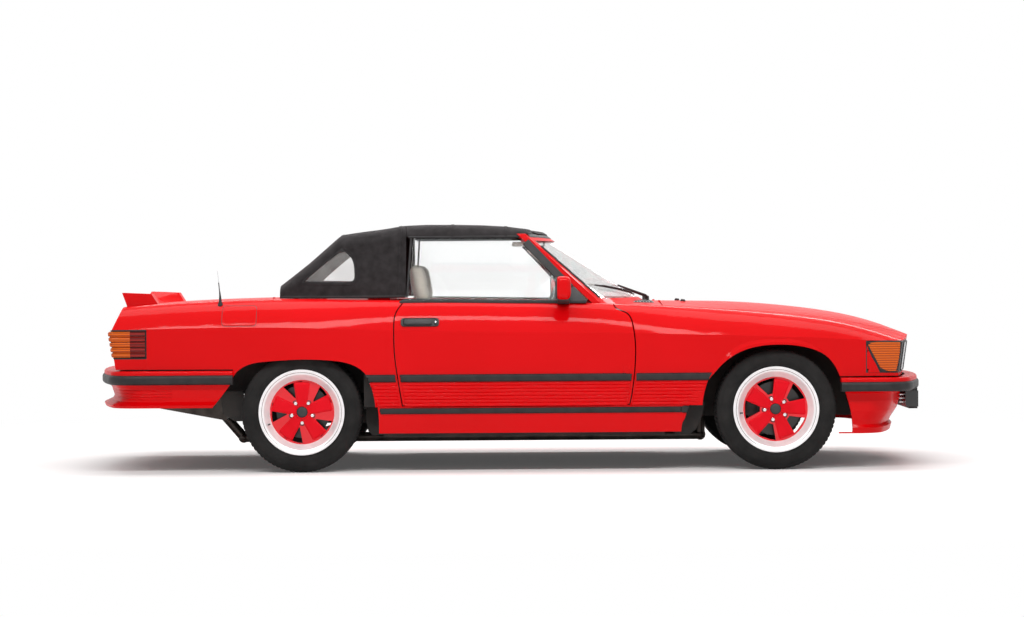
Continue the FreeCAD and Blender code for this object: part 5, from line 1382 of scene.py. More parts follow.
def rear_outline():
    """The rear pane's opening, as (y, z) points with round corners."""
    made = []
    for u, v in rounded_outline((-1.0, 0.0), (1.0, 1.0), 0.12, steps=5):
        half = 0.520 - 0.020 * v
        made.append((u * half, 0.952 + v * 0.166))
    return divided(made, 0.02)


def offset_outline(points, distance):
    """A closed outline moved outwards by a distance."""
    area = sum(a[0] * b[1] - b[0] * a[1] for a, b in zip(points, points[1:] + points[:1]))
    turn = 1 if area > 0 else -1
    made = []
    for i, (u, v) in enumerate(points):
        before, after = points[i - 1], points[(i + 1) % len(points)]
        du, dv = after[0] - before[0], after[1] - before[1]
        size = math.hypot(du, dv) or 1.0
        made.append((u + turn * dv / size * distance, v - turn * du / size * distance))
    return made


def prism_cutter(name, outline, start, end, axis):
    """A helper solid that carries an outline through the cloth."""
    rows = []
    for at in (start, end):
        rows.append([(u, at, v) if axis == "Y" else (at, u, v) for u, v in outline])
    return loft(name, rows, "fabric", "body", smooth=False)


def cut_openings(obj, cutters):
    for cutter in cutters:
        step = obj.modifiers.new("cut", "BOOLEAN")
        step.operation = "DIFFERENCE"
        step.solver = "EXACT"
        step.object = cutter
    baked(obj)
    for cutter in cutters:
        bpy.data.objects.remove(cutter, do_unlink=True)


def band_on(name, place, outline, inner, outer, rise, look, body):
    """A flat band between two offsets of an outline, laid on a surface."""
    rows = []
    for distance, height in (
        (outer, -0.001), (outer - 0.001, rise), (inner + 0.001, rise), (inner, -0.001),
    ):
        rows.append(laid(place, offset_outline(outline, distance), height))
    return sharpen(loft(name, rows + [rows[0]], look, body, caps=False), 50)


def soft_top():
    """The cloth in one piece, then its pane bands, seams and hems."""
    skin = TopSkin()
    tail, split, head = -1.2008, -0.5415, 0.2055
    rear_part = cloth_rows(skin, spread(tail, split - 0.001, 58), 121, REAR_FOOT)
    front_part = cloth_rows(skin, spread(split + 0.001, head, 62), 91, ROOF_FOOT)
    cloth = []
    for label, rows in (("rear", rear_part), ("roof", front_part)):
        made = loft(f"cloth_{label}", rows, "fabric", "body", ring=False)
        thick = made.modifiers.new("cloth", "SOLIDIFY")
        thick.thickness = CLOTH_THICKNESS
        thick.offset = -1
        thick.use_even_offset = True
        cloth.append(made)
    quarter = quarter_outline()
    rear = rear_outline()
    cutters = [
        prism_cutter("cut_right", quarter, -1.2, -0.45, "Y"),
        prism_cutter("cut_left", quarter, 0.45, 1.2, "Y"),
        prism_cutter("cut_rear", rear, -1.6, -0.95, "X"),
    ]
    cut_openings(cloth[0], cutters)
    cut_openings(cloth[1], [])
    whole = bmesh.new()
    for made in cloth:
        whole.from_mesh(made.data)
    mesh = bpy.data.meshes.new("fabric_top")
    whole.to_mesh(mesh)
    whole.free()
    mesh.materials.append(MATERIALS["fabric"])
    for made in cloth:
        bpy.data.objects.remove(made, do_unlink=True)
    top = bpy.data.objects.new("fabric_top", mesh)
    bpy.context.scene.collection.objects.link(top)
    for polygon in mesh.polygons:
        polygon.use_smooth = True
    sharpen(top, 40)
    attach(top, "body")
    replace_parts(top, "soft_top")
    trims = top_trims(skin, quarter, rear)


def across_top(name, skin, x, width, rise, look, low_share=0.0, foot=REAR_FOOT):
    """A sewn strip across the cloth at one station."""
    rows = []
    base = base_of(foot)
    first = lowest_angle(skin, x, foot)
    for dx, height in (
        (-width / 2, -0.002), (-width / 2, rise), (-width / 4, rise * 0.6), (width / 4, rise * 0.6),
        (width / 2, rise), (width / 2, -0.002),
    ):
        row = []
        for k in range(90):
            share = low_share + (1 - 2 * low_share) * k / 89
            angle = first + share * (math.pi - 2 * first)
            point, normal = skin.polar(x + dx, angle, base)
            if point is None:
                point, normal = skin.polar(x + dx, angle + (0.006 if share < 0.5 else -0.006), base)
            if point is None:
                row.append(row[-1])
                continue
            row.append(point + normal * (height - sag(x, share) - folds(point)))
        rows.append(row)
    return sharpen(loft(name, rows, look, "body", ring=False), 60)


def hem_points(skin, side):
    """Places along the cloth's lower edge behind the doors."""
    edge = []
    for x in spread(-1.195, -0.548, 60):
        first = lowest_angle(skin, x, REAR_FOOT)
        if first is None:
            continue
        point, normal = skin.polar(x, first + 0.004, REAR_BASE)
        if point is None:
            continue
        if side == LEFT:
            point = Vector((point.x, -point.y, point.z))
            normal = Vector((normal.x, -normal.y, normal.z))
        edge.append(point + normal * 0.002 + Vector((0, 0, 0.005)))
    return edge


def eave_points(skin, side):
    """Places along the cloth's lower edge over a door's glass."""
    eave = []
    for x in spread(-0.530, 0.066, 50):
        first = lowest_angle(skin, x, ROOF_FOOT)
        if first is None:
            continue
        point, _ = skin.polar(x, first + 0.002, ROOF_BASE)
        if point is None:
            continue
        eave.append(Vector((point.x, side * (abs(point.y) - 0.005), 1.2168)))
    return eave


def glass_edge_points(skin, side):
    """Places up the cloth's front edge behind a door's glass."""
    rear_edge = []
    for z in spread(0.903, 1.214, 24):
        found, _ = skin.cast((-0.5425, side * SIDE_START, z), (0, -side, 0))
        if found is not None:
            rear_edge.append(Vector((-0.538 + 0.022 * (z - 0.889) / 0.33, found.y - side * 0.003, z)))
    return rear_edge


def top_trims(skin, quarter, rear):
    """Welded bands round the panes, sewn seams over the bows, hems and rubbers of the top."""
    trims = []
    for label, side in SIDES:
        def place(x, z, side=side):
            return skin.cast((x, side * SIDE_START, z), (0, -side, 0))
        trims.append(band_on(f"pane_band_{label}", place, quarter, -0.006, 0.013, 0.0014, "fabric", "body"))
        trims.append(band_on(f"pane_welt_{label}", place, quarter, -0.003, 0.002, 0.0026, "rubber", "body"))

    def behind(y, z):
        return skin.cast((-2.2, y, z), (1, 0, 0))

    trims.append(band_on("rear_pane_band", behind, rear, -0.006, 0.018, 0.0014, "fabric", "body"))
    trims.append(band_on("rear_pane_welt", behind, rear, -0.003, 0.002, 0.0026, "rubber", "body"))
    for i, (x, foot) in enumerate(
        ((-0.880, REAR_FOOT), (-0.575, REAR_FOOT), (-0.300, ROOF_FOOT), (-0.020, ROOF_FOOT))
    ):
        low_share = 0.30 if x == -0.880 else 0.0
        trims.append(across_top(f"top_seam_{i}", skin, x, 0.014, 0.0022, "fabric", low_share, foot))
    for label, side in SIDES:
        for part, points, width, height, across in (
            ("top_hem", hem_points(skin, side), 0.012, 0.005, UP),
            ("eave_seal", eave_points(skin, side), 0.016, 0.010, ACROSS),
            ("rear_glass_seal", glass_edge_points(skin, side), 0.013, 0.010, ACROSS),
        ):
            if len(points) > 4:
                name = f"{part}_{label}"
                trims.append(strip_along(name, points, width, height, across, "rubber", "body"))
    return trims


# Seats: foam cushions under leather, swollen by a short cloth simulation.


PADDING_PRESSURE = 4.0
PADDING_FRAMES = 20
SEAT_Y = 0.378
CUSHION_Z = 0.385
HEADREST_FOOT = 0.884
CUSHION_SEAMS = (-0.105, -0.045, 0.015, 0.075, 0.135)
BACK_SEAMS = (0.18, 0.32, 0.46, 0.60, 0.74)
BACK_LENGTH = 0.506


def swollen(name, rows, look, cap=0.008, voxel=0.010):
    """A closed padded form: remeshed, blown up a little as cloth and smoothed."""
    obj = loft(name, rows, look, "body")
    mould = obj.modifiers.new("remesh", "REMESH")
    mould.mode = "VOXEL"
    mould.voxel_size = voxel
    baked(obj)
    start = [v.co.copy() for v in obj.data.vertices]
    cloth = obj.modifiers.new("cloth", "CLOTH")
    settings = cloth.settings
    settings.use_pressure = True
    settings.uniform_pressure_force = PADDING_PRESSURE
    settings.effector_weights.gravity = 0.0
    cloth.point_cache.frame_start = 1
    cloth.point_cache.frame_end = PADDING_FRAMES
    for step in range(1, PADDING_FRAMES + 1):
        bpy.context.scene.frame_set(step)
    graph = bpy.context.evaluated_depsgraph_get()
    swelled = bpy.data.meshes.new_from_object(obj.evaluated_get(graph))
    obj.modifiers.clear()
    bpy.context.scene.frame_set(1)
    for vertex, before in zip(swelled.vertices, start):
        shift = vertex.co - before
        if shift.length > cap:
            vertex.co = before + shift * (cap / shift.length)
    obj.data = swelled
    finer = obj.modifiers.new("finer", "SUBSURF")
    finer.levels = 1
    finer.render_levels = 1
    baked(obj)
    obj.data.materials.clear()
    obj.data.materials.append(MATERIALS[look])
    for polygon in obj.data.polygons:
        polygon.use_smooth = True
    return obj


def oval_ring(centre, across, up, half, low, high, power=5.0, count=40):
    """A soft rectangle round a centre, with its own reach below and above."""
    made = []
    for c, s in circle(count):
        u = math.copysign(abs(c) ** (2 / power), c) * half
        v = math.copysign(abs(s) ** (2 / power), s) * (high if s > 0 else low)
        made.append(centre + across * u + up * v)
    return made


def groove(depth, distance, width):
    return depth * math.exp(-(distance / width) ** 2)


def seat_cushion(label, side):
    rows = []
    middle = [(x, 1.0) for x in spread(-0.14, 0.16, 9)]
    stations = [(-0.205, 0.5), (-0.200, 0.85), (-0.180, 0.97)] + middle
    stations += [(0.195, 0.985), (0.212, 0.90), (0.219, 0.6)]
    for x, share in stations:
        top = 0.440 + 0.020 * (x + 0.16) / 0.365
        rows.append(oval_ring(
            Vector((x, side * SEAT_Y, CUSHION_Z)), ACROSS, UP, 0.215 * share, 0.070 * share,
            (top - CUSHION_Z - 0.006) * share,
        ))
    obj = swollen(f"seat_cushion_{label}", rows, "leather")
    for vertex in obj.data.vertices:
        x, y, z = vertex.co
        if z < 0.40:
            continue
        v = abs(y - side * SEAT_Y)
        dip = groove(0.007, v - 0.140, 0.006)
        if v < 0.140:
            dip += 0.010 * (1 - (v / 0.14) ** 2)
            for seam in CUSHION_SEAMS:
                dip += groove(0.005, x - seam, 0.006)
        vertex.co.z -= dip
    return obj


def back_frame(share):
    """Centre and directions of the backrest at a share of its height."""
    low, high = Vector((-0.232, 0, 0.420)), Vector((-0.442, 0, 0.880))
    lean = (high - low).normalized()
    front = Vector((lean.z, 0, -lean.x))
    return low + (high - low) * share, lean, front


def seat_back(label, side):
    rows = []
    middle = [(share, 1.0) for share in spread(0.12, 0.80, 10)]
    stations = [(0.0, 0.6), (0.012, 0.9), (0.05, 0.98)] + middle
    stations += [(0.90, 0.97), (0.96, 0.88), (0.985, 0.65)]
    for share, size in stations:
        centre, _, front = back_frame(share)
        half = (0.214 - 0.034 * max(0.0, share - 0.55) / 0.45) * size
        depth = 0.046 - 0.012 * share
        rows.append(oval_ring(
            centre + Vector((0, side * SEAT_Y, 0)), ACROSS, front, half, depth * size,
            (depth + 0.004) * size,
        ))
    obj = swollen(f"seat_back_{label}", rows, "leather")
    origin, lean, front = back_frame(0.0)
    for vertex in obj.data.vertices:
        away = vertex.co - origin
        rise = away.dot(lean) / BACK_LENGTH
        v = abs(vertex.co.y - side * SEAT_Y)
        if away.dot(front) < 0.01:
            continue
        dip = groove(0.007, v - 0.135, 0.006)
        if v < 0.135:
            dip += 0.009 * (1 - (v / 0.135) ** 2)
            for seam in BACK_SEAMS:
                dip += groove(0.005, (rise - seam) * BACK_LENGTH, 0.006)
        vertex.co -= front * dip
    return obj


def headrest_x(z):
    """The middle of the leaning headrest at a height."""
    return -0.468 - 0.030 * ((z - HEADREST_FOOT) / 0.184)


def headrest(label, side):
    rows = []
    middle = [(z, 1.0) for z in spread(0.93, 1.02, 6)]
    stations = [(0.884, 0.5), (0.890, 0.85), (0.905, 0.97)] + middle
    stations += [(1.048, 0.95), (1.062, 0.80), (1.068, 0.5)]
    for z, size in stations:
        centre = Vector((headrest_x(z), side * SEAT_Y, z))
        rows.append(oval_ring(centre, ACROSS, ALONG, 0.120 * size, 0.038 * size, 0.036 * size, 4.0))
    obj = swollen(f"headrest_{label}", rows, "leather", 0.004, 0.008)
    for vertex in obj.data.vertices:
        if vertex.co.x > headrest_x(vertex.co.z):
            vertex.co.x -= groove(0.003, vertex.co.z - 0.955, 0.005)
    for i, y in enumerate((-0.055, 0.055)):
        tube(
            f"headrest_post_{label}_{i}",
            [(-0.440, side * SEAT_Y + y, 0.850), (-0.466, side * SEAT_Y + y, 0.900)], 0.006, "bright",
            "body", 12,
        )
    return obj


def seat_frame(label, side):
    """Side covers, pan, rails and feet under one seat."""
    y = side * SEAT_Y
    outline = [
        (-0.255, 0.305), (0.205, 0.305), (0.222, 0.335), (0.215, 0.375), (-0.20, 0.372),
        (-0.290, 0.520), (-0.318, 0.512), (-0.268, 0.340),
    ]
    for k, edge in enumerate((-0.222, 0.222)):
        rows = [
            [(u, y + edge - 0.003, v) for u, v in outline],
            [(u, y + edge + 0.003, v) for u, v in outline],
        ]
        rounded(loft(f"seat_side_{label}_{k}", rows, "plastic", "body"), 0.0015)
    block(
        f"seat_pan_{label}", (-0.230, y - 0.195, 0.288), (0.190, y + 0.195, 0.322), "plastic", "body",
        0.006,
    )
    for k, edge in enumerate((-0.12, 0.12)):
        block(
            f"seat_rail_{label}_{k}", (-0.225, y + edge - 0.016, 0.2025),
            (0.155, y + edge + 0.016, 0.240), "iron", "body", 0.003,
        )
        for m, x in enumerate((-0.19, 0.11)):
            block(
                f"seat_foot_{label}_{k}_{m}", (x - 0.02, y + edge - 0.012, 0.238),
                (x + 0.02, y + edge + 0.012, 0.292), "plastic", "body", 0.003,
            )


def seats():
    made = []
    for label, side in SIDES:
        made.append(seat_cushion(label, side))
        made.append(seat_back(label, side))
        made.append(headrest(label, side))
        seat_frame(label, side)
    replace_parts(made[0], "seats")


# Mirrors, pillars and the edges round the glass.


def glass_plane(z):
    """Distance of the raised side glass from the middle, at a height."""
    return 0.800 - 0.4215 * (z - 0.871)


def mirror(label, side):
    """Painted housing with its glass in a black rim, on a black foot and sail."""
    body = f"door_{label}_body"
    rows = []
    stations = [
        (0.858, 0.50), (0.860, 0.74), (0.866, 0.90), (0.880, 0.98), (0.905, 1.0), (0.955, 1.0),
        (0.985, 0.97), (0.998, 0.88), (1.005, 0.72), (1.008, 0.48),
    ]
    for y, size in stations:
        centre = Vector((0.2735, side * y, 0.948))
        ring = oval_ring(centre, ALONG, UP, 0.040 * size, 0.0600 * size, 0.0600 * size, 3.6)
        rows.append([(max(p.x, 0.2375), p.y, p.z) for p in ring])
    shell = loft(f"mirror_shell_{label}", rows, "red", body)
    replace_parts(shell, f"mirror_{label}")

    def back(y, z):
        return Vector((0.2375, side * y, z)), Vector((-1, 0, 0))

    outline = divided(rounded_outline((0.868, 0.896), (0.999, 1.000), 0.024), 0.012)
    pad(
        f"mirror_rim_{label}", back, outline,
        [(-0.03, -0.004), (-0.03, 0.003), (0.0, 0.0045), (0.08, 0.0045), (0.10, 0.001)], "plastic", body,
        False,
    )
    pad(
        f"mirror_glass_{label}", back, shrunk(outline, 0.08),
        [(0.0, 0.0), (0.0, 0.0018), (0.5, 0.0020), (0.9, 0.0020)], "bright", body,
    )
    foot = []
    for y, low, high, half in (
        (0.800, 0.862, 0.905, 0.036), (0.840, 0.866, 0.906, 0.030), (0.872, 0.880, 0.915, 0.026),
    ):
        foot.append([
            (0.276 - half, side * y, low), (0.276 + half, side * y, low),
            (0.276 + half, side * y, high), (0.276 - half, side * y, high),
        ])
    rounded(loft(f"mirror_foot_{label}", foot, "plastic", body), 0.006)
    corners = [(0.240, 0.876), (0.402, 0.876), (0.338, 0.950), (0.300, 0.956)]
    rows = [[(x, side * (glass_plane(z) + out), z) for x, z in corners] for out in (-0.004, 0.005)]
    rounded(loft(f"mirror_sail_{label}", rows, "plastic", body), 0.002)


def glass_guides(label, side):
    """Black guide along the glass's front edge and the seal the door's top edge carries."""
    body = f"door_{label}_body"
    points = []
    for z in spread(0.948, 1.188, 16):
        x = 0.428 - 0.9557 * (z - 0.800)
        points.append(Vector((x + 0.027, side * (glass_plane(z) + 0.003), z)))
    strip_along(f"glass_guide_{label}", points, 0.040, 0.011, (1, 0, 0), "rubber", body)
    skin = Skin([f"door_{label}"])
    for name, y, width in (("outer", 0.806, 0.012), ("inner", 0.786, 0.010)):
        points = []
        for x in spread(-0.572, 0.395, 44):
            found, _ = skin.top(x, side * y)
            if found is not None:
                points.append(Vector((x, side * y, max(found.z, 0.872) + 0.004)))
        if len(points) > 6:
            strip_along(f"belt_seal_{name}_{label}", points, width, 0.016, (0, 1, 0), "rubber", body)


def pillar_trims(label, side):
    """Black edge seal outside a windscreen pillar and the pale trim inside it."""
    skin = Skin(["windscreen_frame"])
    edge, inside = [], []
    for z in spread(0.895, 1.165, 22):
        x = 0.80
        while x > 0.0 and skin.side(x, z, side)[0] is None:
            x -= 0.003
        found, _ = skin.side(x - 0.004, z, side)
        if found is not None:
            edge.append(Vector((x - 0.003, found.y + side * 0.001, z)))
        inner, _ = skin.cast((x - 0.050, side * 0.30, z), (0, side, 0))
        if inner is not None and abs(inner.y) > 0.5:
            inside.append(inner - Vector((0, side * 0.003, 0)))
    if len(edge) > 6:
        strip_along(f"pillar_seal_{label}", edge, 0.013, 0.008, (1, 0, 0), "rubber", "body")
    if len(inside) > 6:
        strip_along(f"pillar_trim_{label}", inside, 0.044, 0.008, (1, 0, 0), "card", "body")


def header_seal():
    """Black rubber between the cloth's front edge and the windscreen glass."""
    frame_skin = Skin(["windscreen_frame"])
    cloth_skin = Skin(["soft_top"])
    glass_skin = Skin(["windscreen_glass"])
    rows = []
    columns = 8
    for y in spread(-0.690, 0.690, 57):
        front, back = 0.30, 0.0
        while front > 0.0 and cloth_skin.top(front, y)[0] is None:
            front -= 0.003
        while back < 0.40 and glass_skin.top(back, y)[0] is None:
            back += 0.003
        row = []
        for k, x in enumerate(spread(front - 0.010, back + 0.004, columns)):
            found, normal = frame_skin.top(x, y)
            if found is None:
                found, normal = frame_skin.top(x - 0.006, y)
            if found is None:
                break
            row.append(found + normal * (0.003 if 0 < k < columns - 1 else SUNK))
        if len(row) == columns and back - front < 0.12:
            rows.append(row)
    if len(rows) > 4:
        sharpen(loft("header_seal", rows, "rubber", "body", ring=False), 50)


# Lower body: sill ends, guards in the wheel arches, and patches flush with the paint.


SILL_END_INNER, SILL_FOOT = 0.775, 0.206
SILL_ENDS = (
    ("paint", "red", -0.0005, [
        (0.880, 0.299), (0.908, 0.299), (0.900, 0.270), (0.862, 0.205), (0.848, 0.203), (0.880, 0.250),
    ]),
    ("strip", "rubber", 0.007, [(0.880, 0.333), (0.922, 0.333), (0.909, 0.300), (0.880, 0.300)]),
)
GUARD_SIDES = (0.690, 0.715)
GUARDS = {
    "front_guard": [
        (0.880, 0.345), (1.012, 0.345), (1.000, 0.280), (0.965, 0.205), (0.930, 0.178), (0.850, 0.184),
        (0.850, 0.205), (0.880, 0.215),
    ],
    "rear_guard": [
        (-0.684, 0.345), (-0.752, 0.345), (-0.758, 0.270), (-0.744, 0.208), (-0.720, 0.182),
        (-0.640, 0.190), (-0.640, 0.215), (-0.684, 0.215),
    ],
    "rear_liner": [(-1.393, 0.42), (-1.520, 0.42), (-1.500, 0.300), (-1.440, 0.262), (-1.393, 0.262)],
}


def sill_end_pieces(label, side):
    """The sill's red foot and its strip, carried on to the front wheel's arch."""
    skin = Skin(["sills"])
    for part, look, proud, outline in SILL_ENDS:
        outer, inner = [], []
        for x, z in outline:
            y = side_depth(skin, 0.874, max(z, SILL_FOOT), side) or side * 0.86
            outer.append((x, y + side * proud, z))
            inner.append((x, side * SILL_END_INNER, z))
        rounded(loft(f"sill_end_{part}_{label}", [inner, outer], look, "body"), 0.003)


def arch_guards(label, side):
    """Upright black plates that close the wheel arches towards the middle of the car."""
    for name, outline in GUARDS.items():
        rows = [[(x, side * y, z) for x, z in outline] for y in GUARD_SIDES]
        rounded(loft(f"{name}_{label}", rows, "under", "body"), 0.002)


def paint_patches(label, side):
    """Red pads over the headlamp's grey corner and over the door's lower hinge slot."""
    lamp = Skin(["headlamps"])
    patch = divided([(1.8365, 0.656), (1.8365, 0.4985), (1.910, 0.4985)], 0.012)
    pad(
        f"lamp_corner_panel_{label}", on_side(lamp, side), patch,
        raised(0.0012, 0.0016, (0.02, 0.3, 0.6, 0.9)), "red", "body",
    )
    door = Skin([f"door_{label}"])

    def over_hole(x, z):
        found, normal = door.side(x, z, side)
        edge, _ = door.side(0.560, z, side)
        if edge is not None and (found is None or abs(found.y) < abs(edge.y) - 0.006):
            return Vector((x, edge.y - side * 0.0015, z)), Vector((0, side, 0))
        return found, normal

    cover = divided(rounded_outline((0.582, 0.506), (0.618, 0.552), 0.006), 0.006)
    pad(
        f"hinge_cover_{label}", over_hole, cover, raised(0.0010, 0.0014, (0.06, 0.4, 0.9)), "red",
        f"door_{label}_body",
    )


# Cowl, washer jets and tail pipes.


def cowl_louvres():
    """Dark panel of cross slots in front of the windscreen."""
    skin = Skin(["cowl"])
    section = [(-0.004, 0.001), (-0.002, 0.0055), (0.002, 0.0055), (0.004, 0.001)]
    for i, (y0, y1) in enumerate(((-0.46, -0.05), (0.05, 0.46))):
        outline = divided(rounded_outline((0.655, y0), (0.765, y1), 0.01), 0.02)
        pad(
            f"cowl_panel_{i}", skin.top, outline, raised(0.0015, 0.0022, (0.05, 0.4, 0.8)), "plastic",
            "body",
        )
        for k, x in enumerate(spread(0.670, 0.750, 6)):
            rows = []
            for y in spread(y0 + 0.02, y1 - 0.02, 16):
                found, _ = skin.top(x, y)
                if found is None:
                    continue
                rows.append([(x + dx, y, found.z + dz) for dx, dz in section])
            if len(rows) > 3:
                loft(f"cowl_slot_{i}_{k}", rows, "plastic", "body")


def washer_jets():
    skin = Skin(["bonnet"])
    for label, side in SIDES:
        x, y, z = skin.top(0.930, side * 0.26)[0]
        tube(
            f"washer_jet_{label}",
            [
                (x + 0.012, y, z - 0.002), (x + 0.006, y, z + 0.006), (x - 0.008, y, z + 0.008),
                (x - 0.014, y, z + 0.002),
            ],
            [0.004, 0.0065, 0.0065, 0.003], "plastic", "bonnet_body", 10,
        )


def tail_pipes():
    """Bright rims rolled over the ends of the two tail pipes."""
    profile = [(0.0275, -2.010), (0.0285, -2.0605), (0.0275, -2.0625), (0.0255, -2.0615), (0.0250, -2.020)]
    for i, y in enumerate((-0.282, -0.178)):
        fore_and_aft(f"tail_pipe_{i}", (0, y, 0.3525), profile, "bright", 32, 40)


# Cabin.


DIAL_PROFILE = [(1.0, 0.0), (1.0, -0.008), (0.97, -0.010), (0.90, -0.008), (0.88, -0.003), (0.5, -0.003)]
MARKS = 13
MARK_SWEEP = (-45, 270)
NEEDLE_TURN = 215


def dial(name, centre, radius):
    """A round gauge: bezel, dark face, marks and a needle."""
    cx, cy, cz = centre
    profile = [(radius * share, out) for share, out in DIAL_PROFILE] + [(0.002, -0.003)]
    fore_and_aft(name, centre, profile, "plastic", 40, 30)
    vertices, faces = [], []
    middle = Vector((cx - 0.0038, cy, cz))
    for k in range(MARKS):
        a = math.radians(MARK_SWEEP[0] + MARK_SWEEP[1] * k / (MARKS - 1))
        along = Vector((0, math.cos(a), math.sin(a)))
        across = Vector((0, -math.sin(a), math.cos(a))) * 0.0008
        base = len(vertices)
        for r, s in ((0.70, -1), (0.70, 1), (0.84, 1), (0.84, -1)):
            vertices.append(middle + along * radius * r + across * s)
        faces.append((base, base + 1, base + 2, base + 3))
    piece(f"{name}_marks", vertices, faces, "white", "body", False)
    a = math.radians(NEEDLE_TURN)
    tip = Vector((cx - 0.0048, cy + radius * 0.68 * math.cos(a), cz + radius * 0.68 * math.sin(a)))
    tube(f"{name}_needle", [(cx - 0.0048, cy, cz), tip], [0.003, 0.0006], "amber", "body", 6)


DASH_EDGE_X, DASH_EDGE_Z = 0.405, 0.700


def dash_face(z):
    """How far back the dashboard's face is at a height."""
    slope = 0.176 if z > DASH_EDGE_Z else 0.2
    return DASH_EDGE_X + abs(z - DASH_EDGE_Z) * slope


def dashboard_details():
    for i, (y, radius) in enumerate(((0.475, 0.040), (0.370, 0.052), (0.265, 0.040))):
        dial(f"gauge_{i}", (dash_face(0.752), y, 0.752), radius)
    rows = []
    for y in spread(0.195, 0.545, 24):
        bow = math.sqrt(max(0.0, 1 - ((y - 0.370) / 0.180) ** 2))
        top = 0.812 + 0.030 * bow
        rows.append([
            (0.372, y, top - 0.008), (0.375, y, top), (0.430, y, top + 0.006), (0.520, y, 0.8255),
            (0.520, y, 0.818), (0.430, y, top - 0.006),
        ])
    sharpen(loft("gauge_hood", rows, "grip", "body"), 45)
    for i, (y, wide) in enumerate(((-0.600, 0.062), (-0.075, 0.060), (0.075, 0.060), (0.640, 0.050))):
        x = dash_face(0.760)
        block(
            f"vent_frame_{i}", (x - 0.006, y - wide, 0.735), (x + 0.004, y + wide, 0.785), "plastic",
            "body", 0.003,
        )
        for k, z in enumerate(spread(0.743, 0.777, 4)):
            block(
                f"vent_slat_{i}_{k}", (x - 0.010, y - wide + 0.006, z - 0.0015),
                (x - 0.002, y + wide - 0.006, z + 0.0015), "black", "body", 0.0008,
            )
    for i, (z0, z1) in enumerate(((0.655, 0.700), (0.600, 0.645))):
        x = dash_face((z0 + z1) / 2)
        block(f"radio_face_{i}", (x - 0.010, -0.092, z0), (x + 0.004, 0.092, z1), "black", "body", 0.003)
        for k, y in enumerate(spread(-0.060, 0.060, 5)):
            block(
                f"radio_key_{i}_{k}", (x - 0.014, y - 0.010, z0 + 0.010),
                (x - 0.008, y + 0.010, z0 + 0.022), "plastic", "body", 0.002,
            )
    for k, y in enumerate((-0.075, 0.075)):
        x = dash_face(0.68)
        tube(
            f"radio_knob_{k}", [(x - 0.008, y, 0.684), (x - 0.022, y, 0.684), (x - 0.024, y, 0.684)],
            [0.010, 0.009, 0.007], "plastic", "body", 20,
        )
    x = dash_face(0.66)
    block("glove_lid", (x - 0.007, -0.640, 0.610), (x + 0.010, -0.200, 0.700), "plastic", "body", 0.005)
    block("glove_catch", (x - 0.012, -0.440, 0.685), (x - 0.004, -0.400, 0.695), "bright", "body", 0.001)


def horn_pad():
    hub = Vector((0.180, 0.370, 0.760))
    lean = math.radians(24)
    axis = Vector((-math.cos(lean), 0, math.sin(lean)))
    up = Vector((math.sin(lean), 0, math.cos(lean)))
    rows = []
    for out, size in ((0.010, 0.98), (0.026, 1.0), (0.034, 0.95), (0.040, 0.80), (0.042, 0.45)):
        rows.append(
            oval_ring(hub + axis * out, ACROSS, up, 0.078 * size, 0.060 * size, 0.052 * size, 3.5, 36)
        )
    sharpen(loft("horn_pad", rows, "grip", "steering_wheel_body"), 50)


def console():
    """Gear lever with its plate, and the lid between the seats."""
    lever = [
        (0.100, 0.0, 0.486), (0.096, 0.0, 0.530), (0.088, 0.0, 0.570), (0.086, 0.0, 0.585),
        (0.084, 0.0, 0.605), (0.083, 0.0, 0.612),
    ]
    tube("gear_lever", lever, [0.022, 0.008, 0.007, 0.019, 0.021, 0.012], "grip", "body", 20)
    block("gear_plate", (0.030, -0.048, 0.492), (0.170, 0.048, 0.4985), "black", "body", 0.003)
    block("console_lid", (-0.290, -0.085, 0.486), (-0.060, 0.085, 0.512), "leather", "body", 0.012)


def mat_and_visor(label, side):
    y0, y1 = sorted((side * 0.175, side * 0.655))
    block(f"floor_mat_{label}", (0.270, y0, 0.2015), (0.735, y1, 0.2100), "carpet", "body", 0.004)
    y0, y1 = sorted((side * 0.115, side * 0.500))
    rounded(
        block(f"sun_visor_{label}", (0.012, y0, 1.176), (0.100, y1, 1.190), "card", "body", 0.006),
        0.004,
    )


def door_inside(label, side):
    """Armrest, pocket, catch and card on the inner side of a door."""
    door = f"door_{label}_body"
    y0, y1 = sorted((side * 0.706, side * 0.770))
    block(f"armrest_{label}", (-0.330, y0, 0.600), (0.180, y1, 0.646), "leather", door, 0.016)
    y0, y1 = sorted((side * 0.742, side * 0.770))
    block(f"door_pocket_{label}", (-0.360, y0, 0.400), (0.240, y1, 0.500), "card", door, 0.010)
    y0, y1 = sorted((side * 0.752, side * 0.768))
    block(f"door_catch_{label}", (0.210, y0, 0.700), (0.275, y1, 0.722), "bright", door, 0.004)
    skin = Skin([f"door_{label}"])

    def from_inside(x, z):
        return skin.cast((x, side * 0.30, z), (0, side, 0))

    card = divided(rounded_outline((-0.500, 0.385), (0.360, 0.840), 0.030), 0.04)
    pad(
        f"door_card_{label}", from_inside, card, raised(0.003, 0.005, (0.02, 0.25, 0.5, 0.75, 0.95)),
        "card", door,
    )


def inside_mirror():
    block("inside_mirror", (0.150, -0.115, 1.108), (0.168, 0.115, 1.160), "plastic", "body", 0.008)
    block("inside_mirror_glass", (0.1475, -0.106, 1.115), (0.1515, 0.106, 1.153), "bright", "body", 0.001)
    tube(
        "inside_mirror_stem", [(0.165, 0.0, 1.145), (0.185, 0.0, 1.175), (0.190, 0.0, 1.196)], 0.006,
        "plastic", "body", 10,
    )


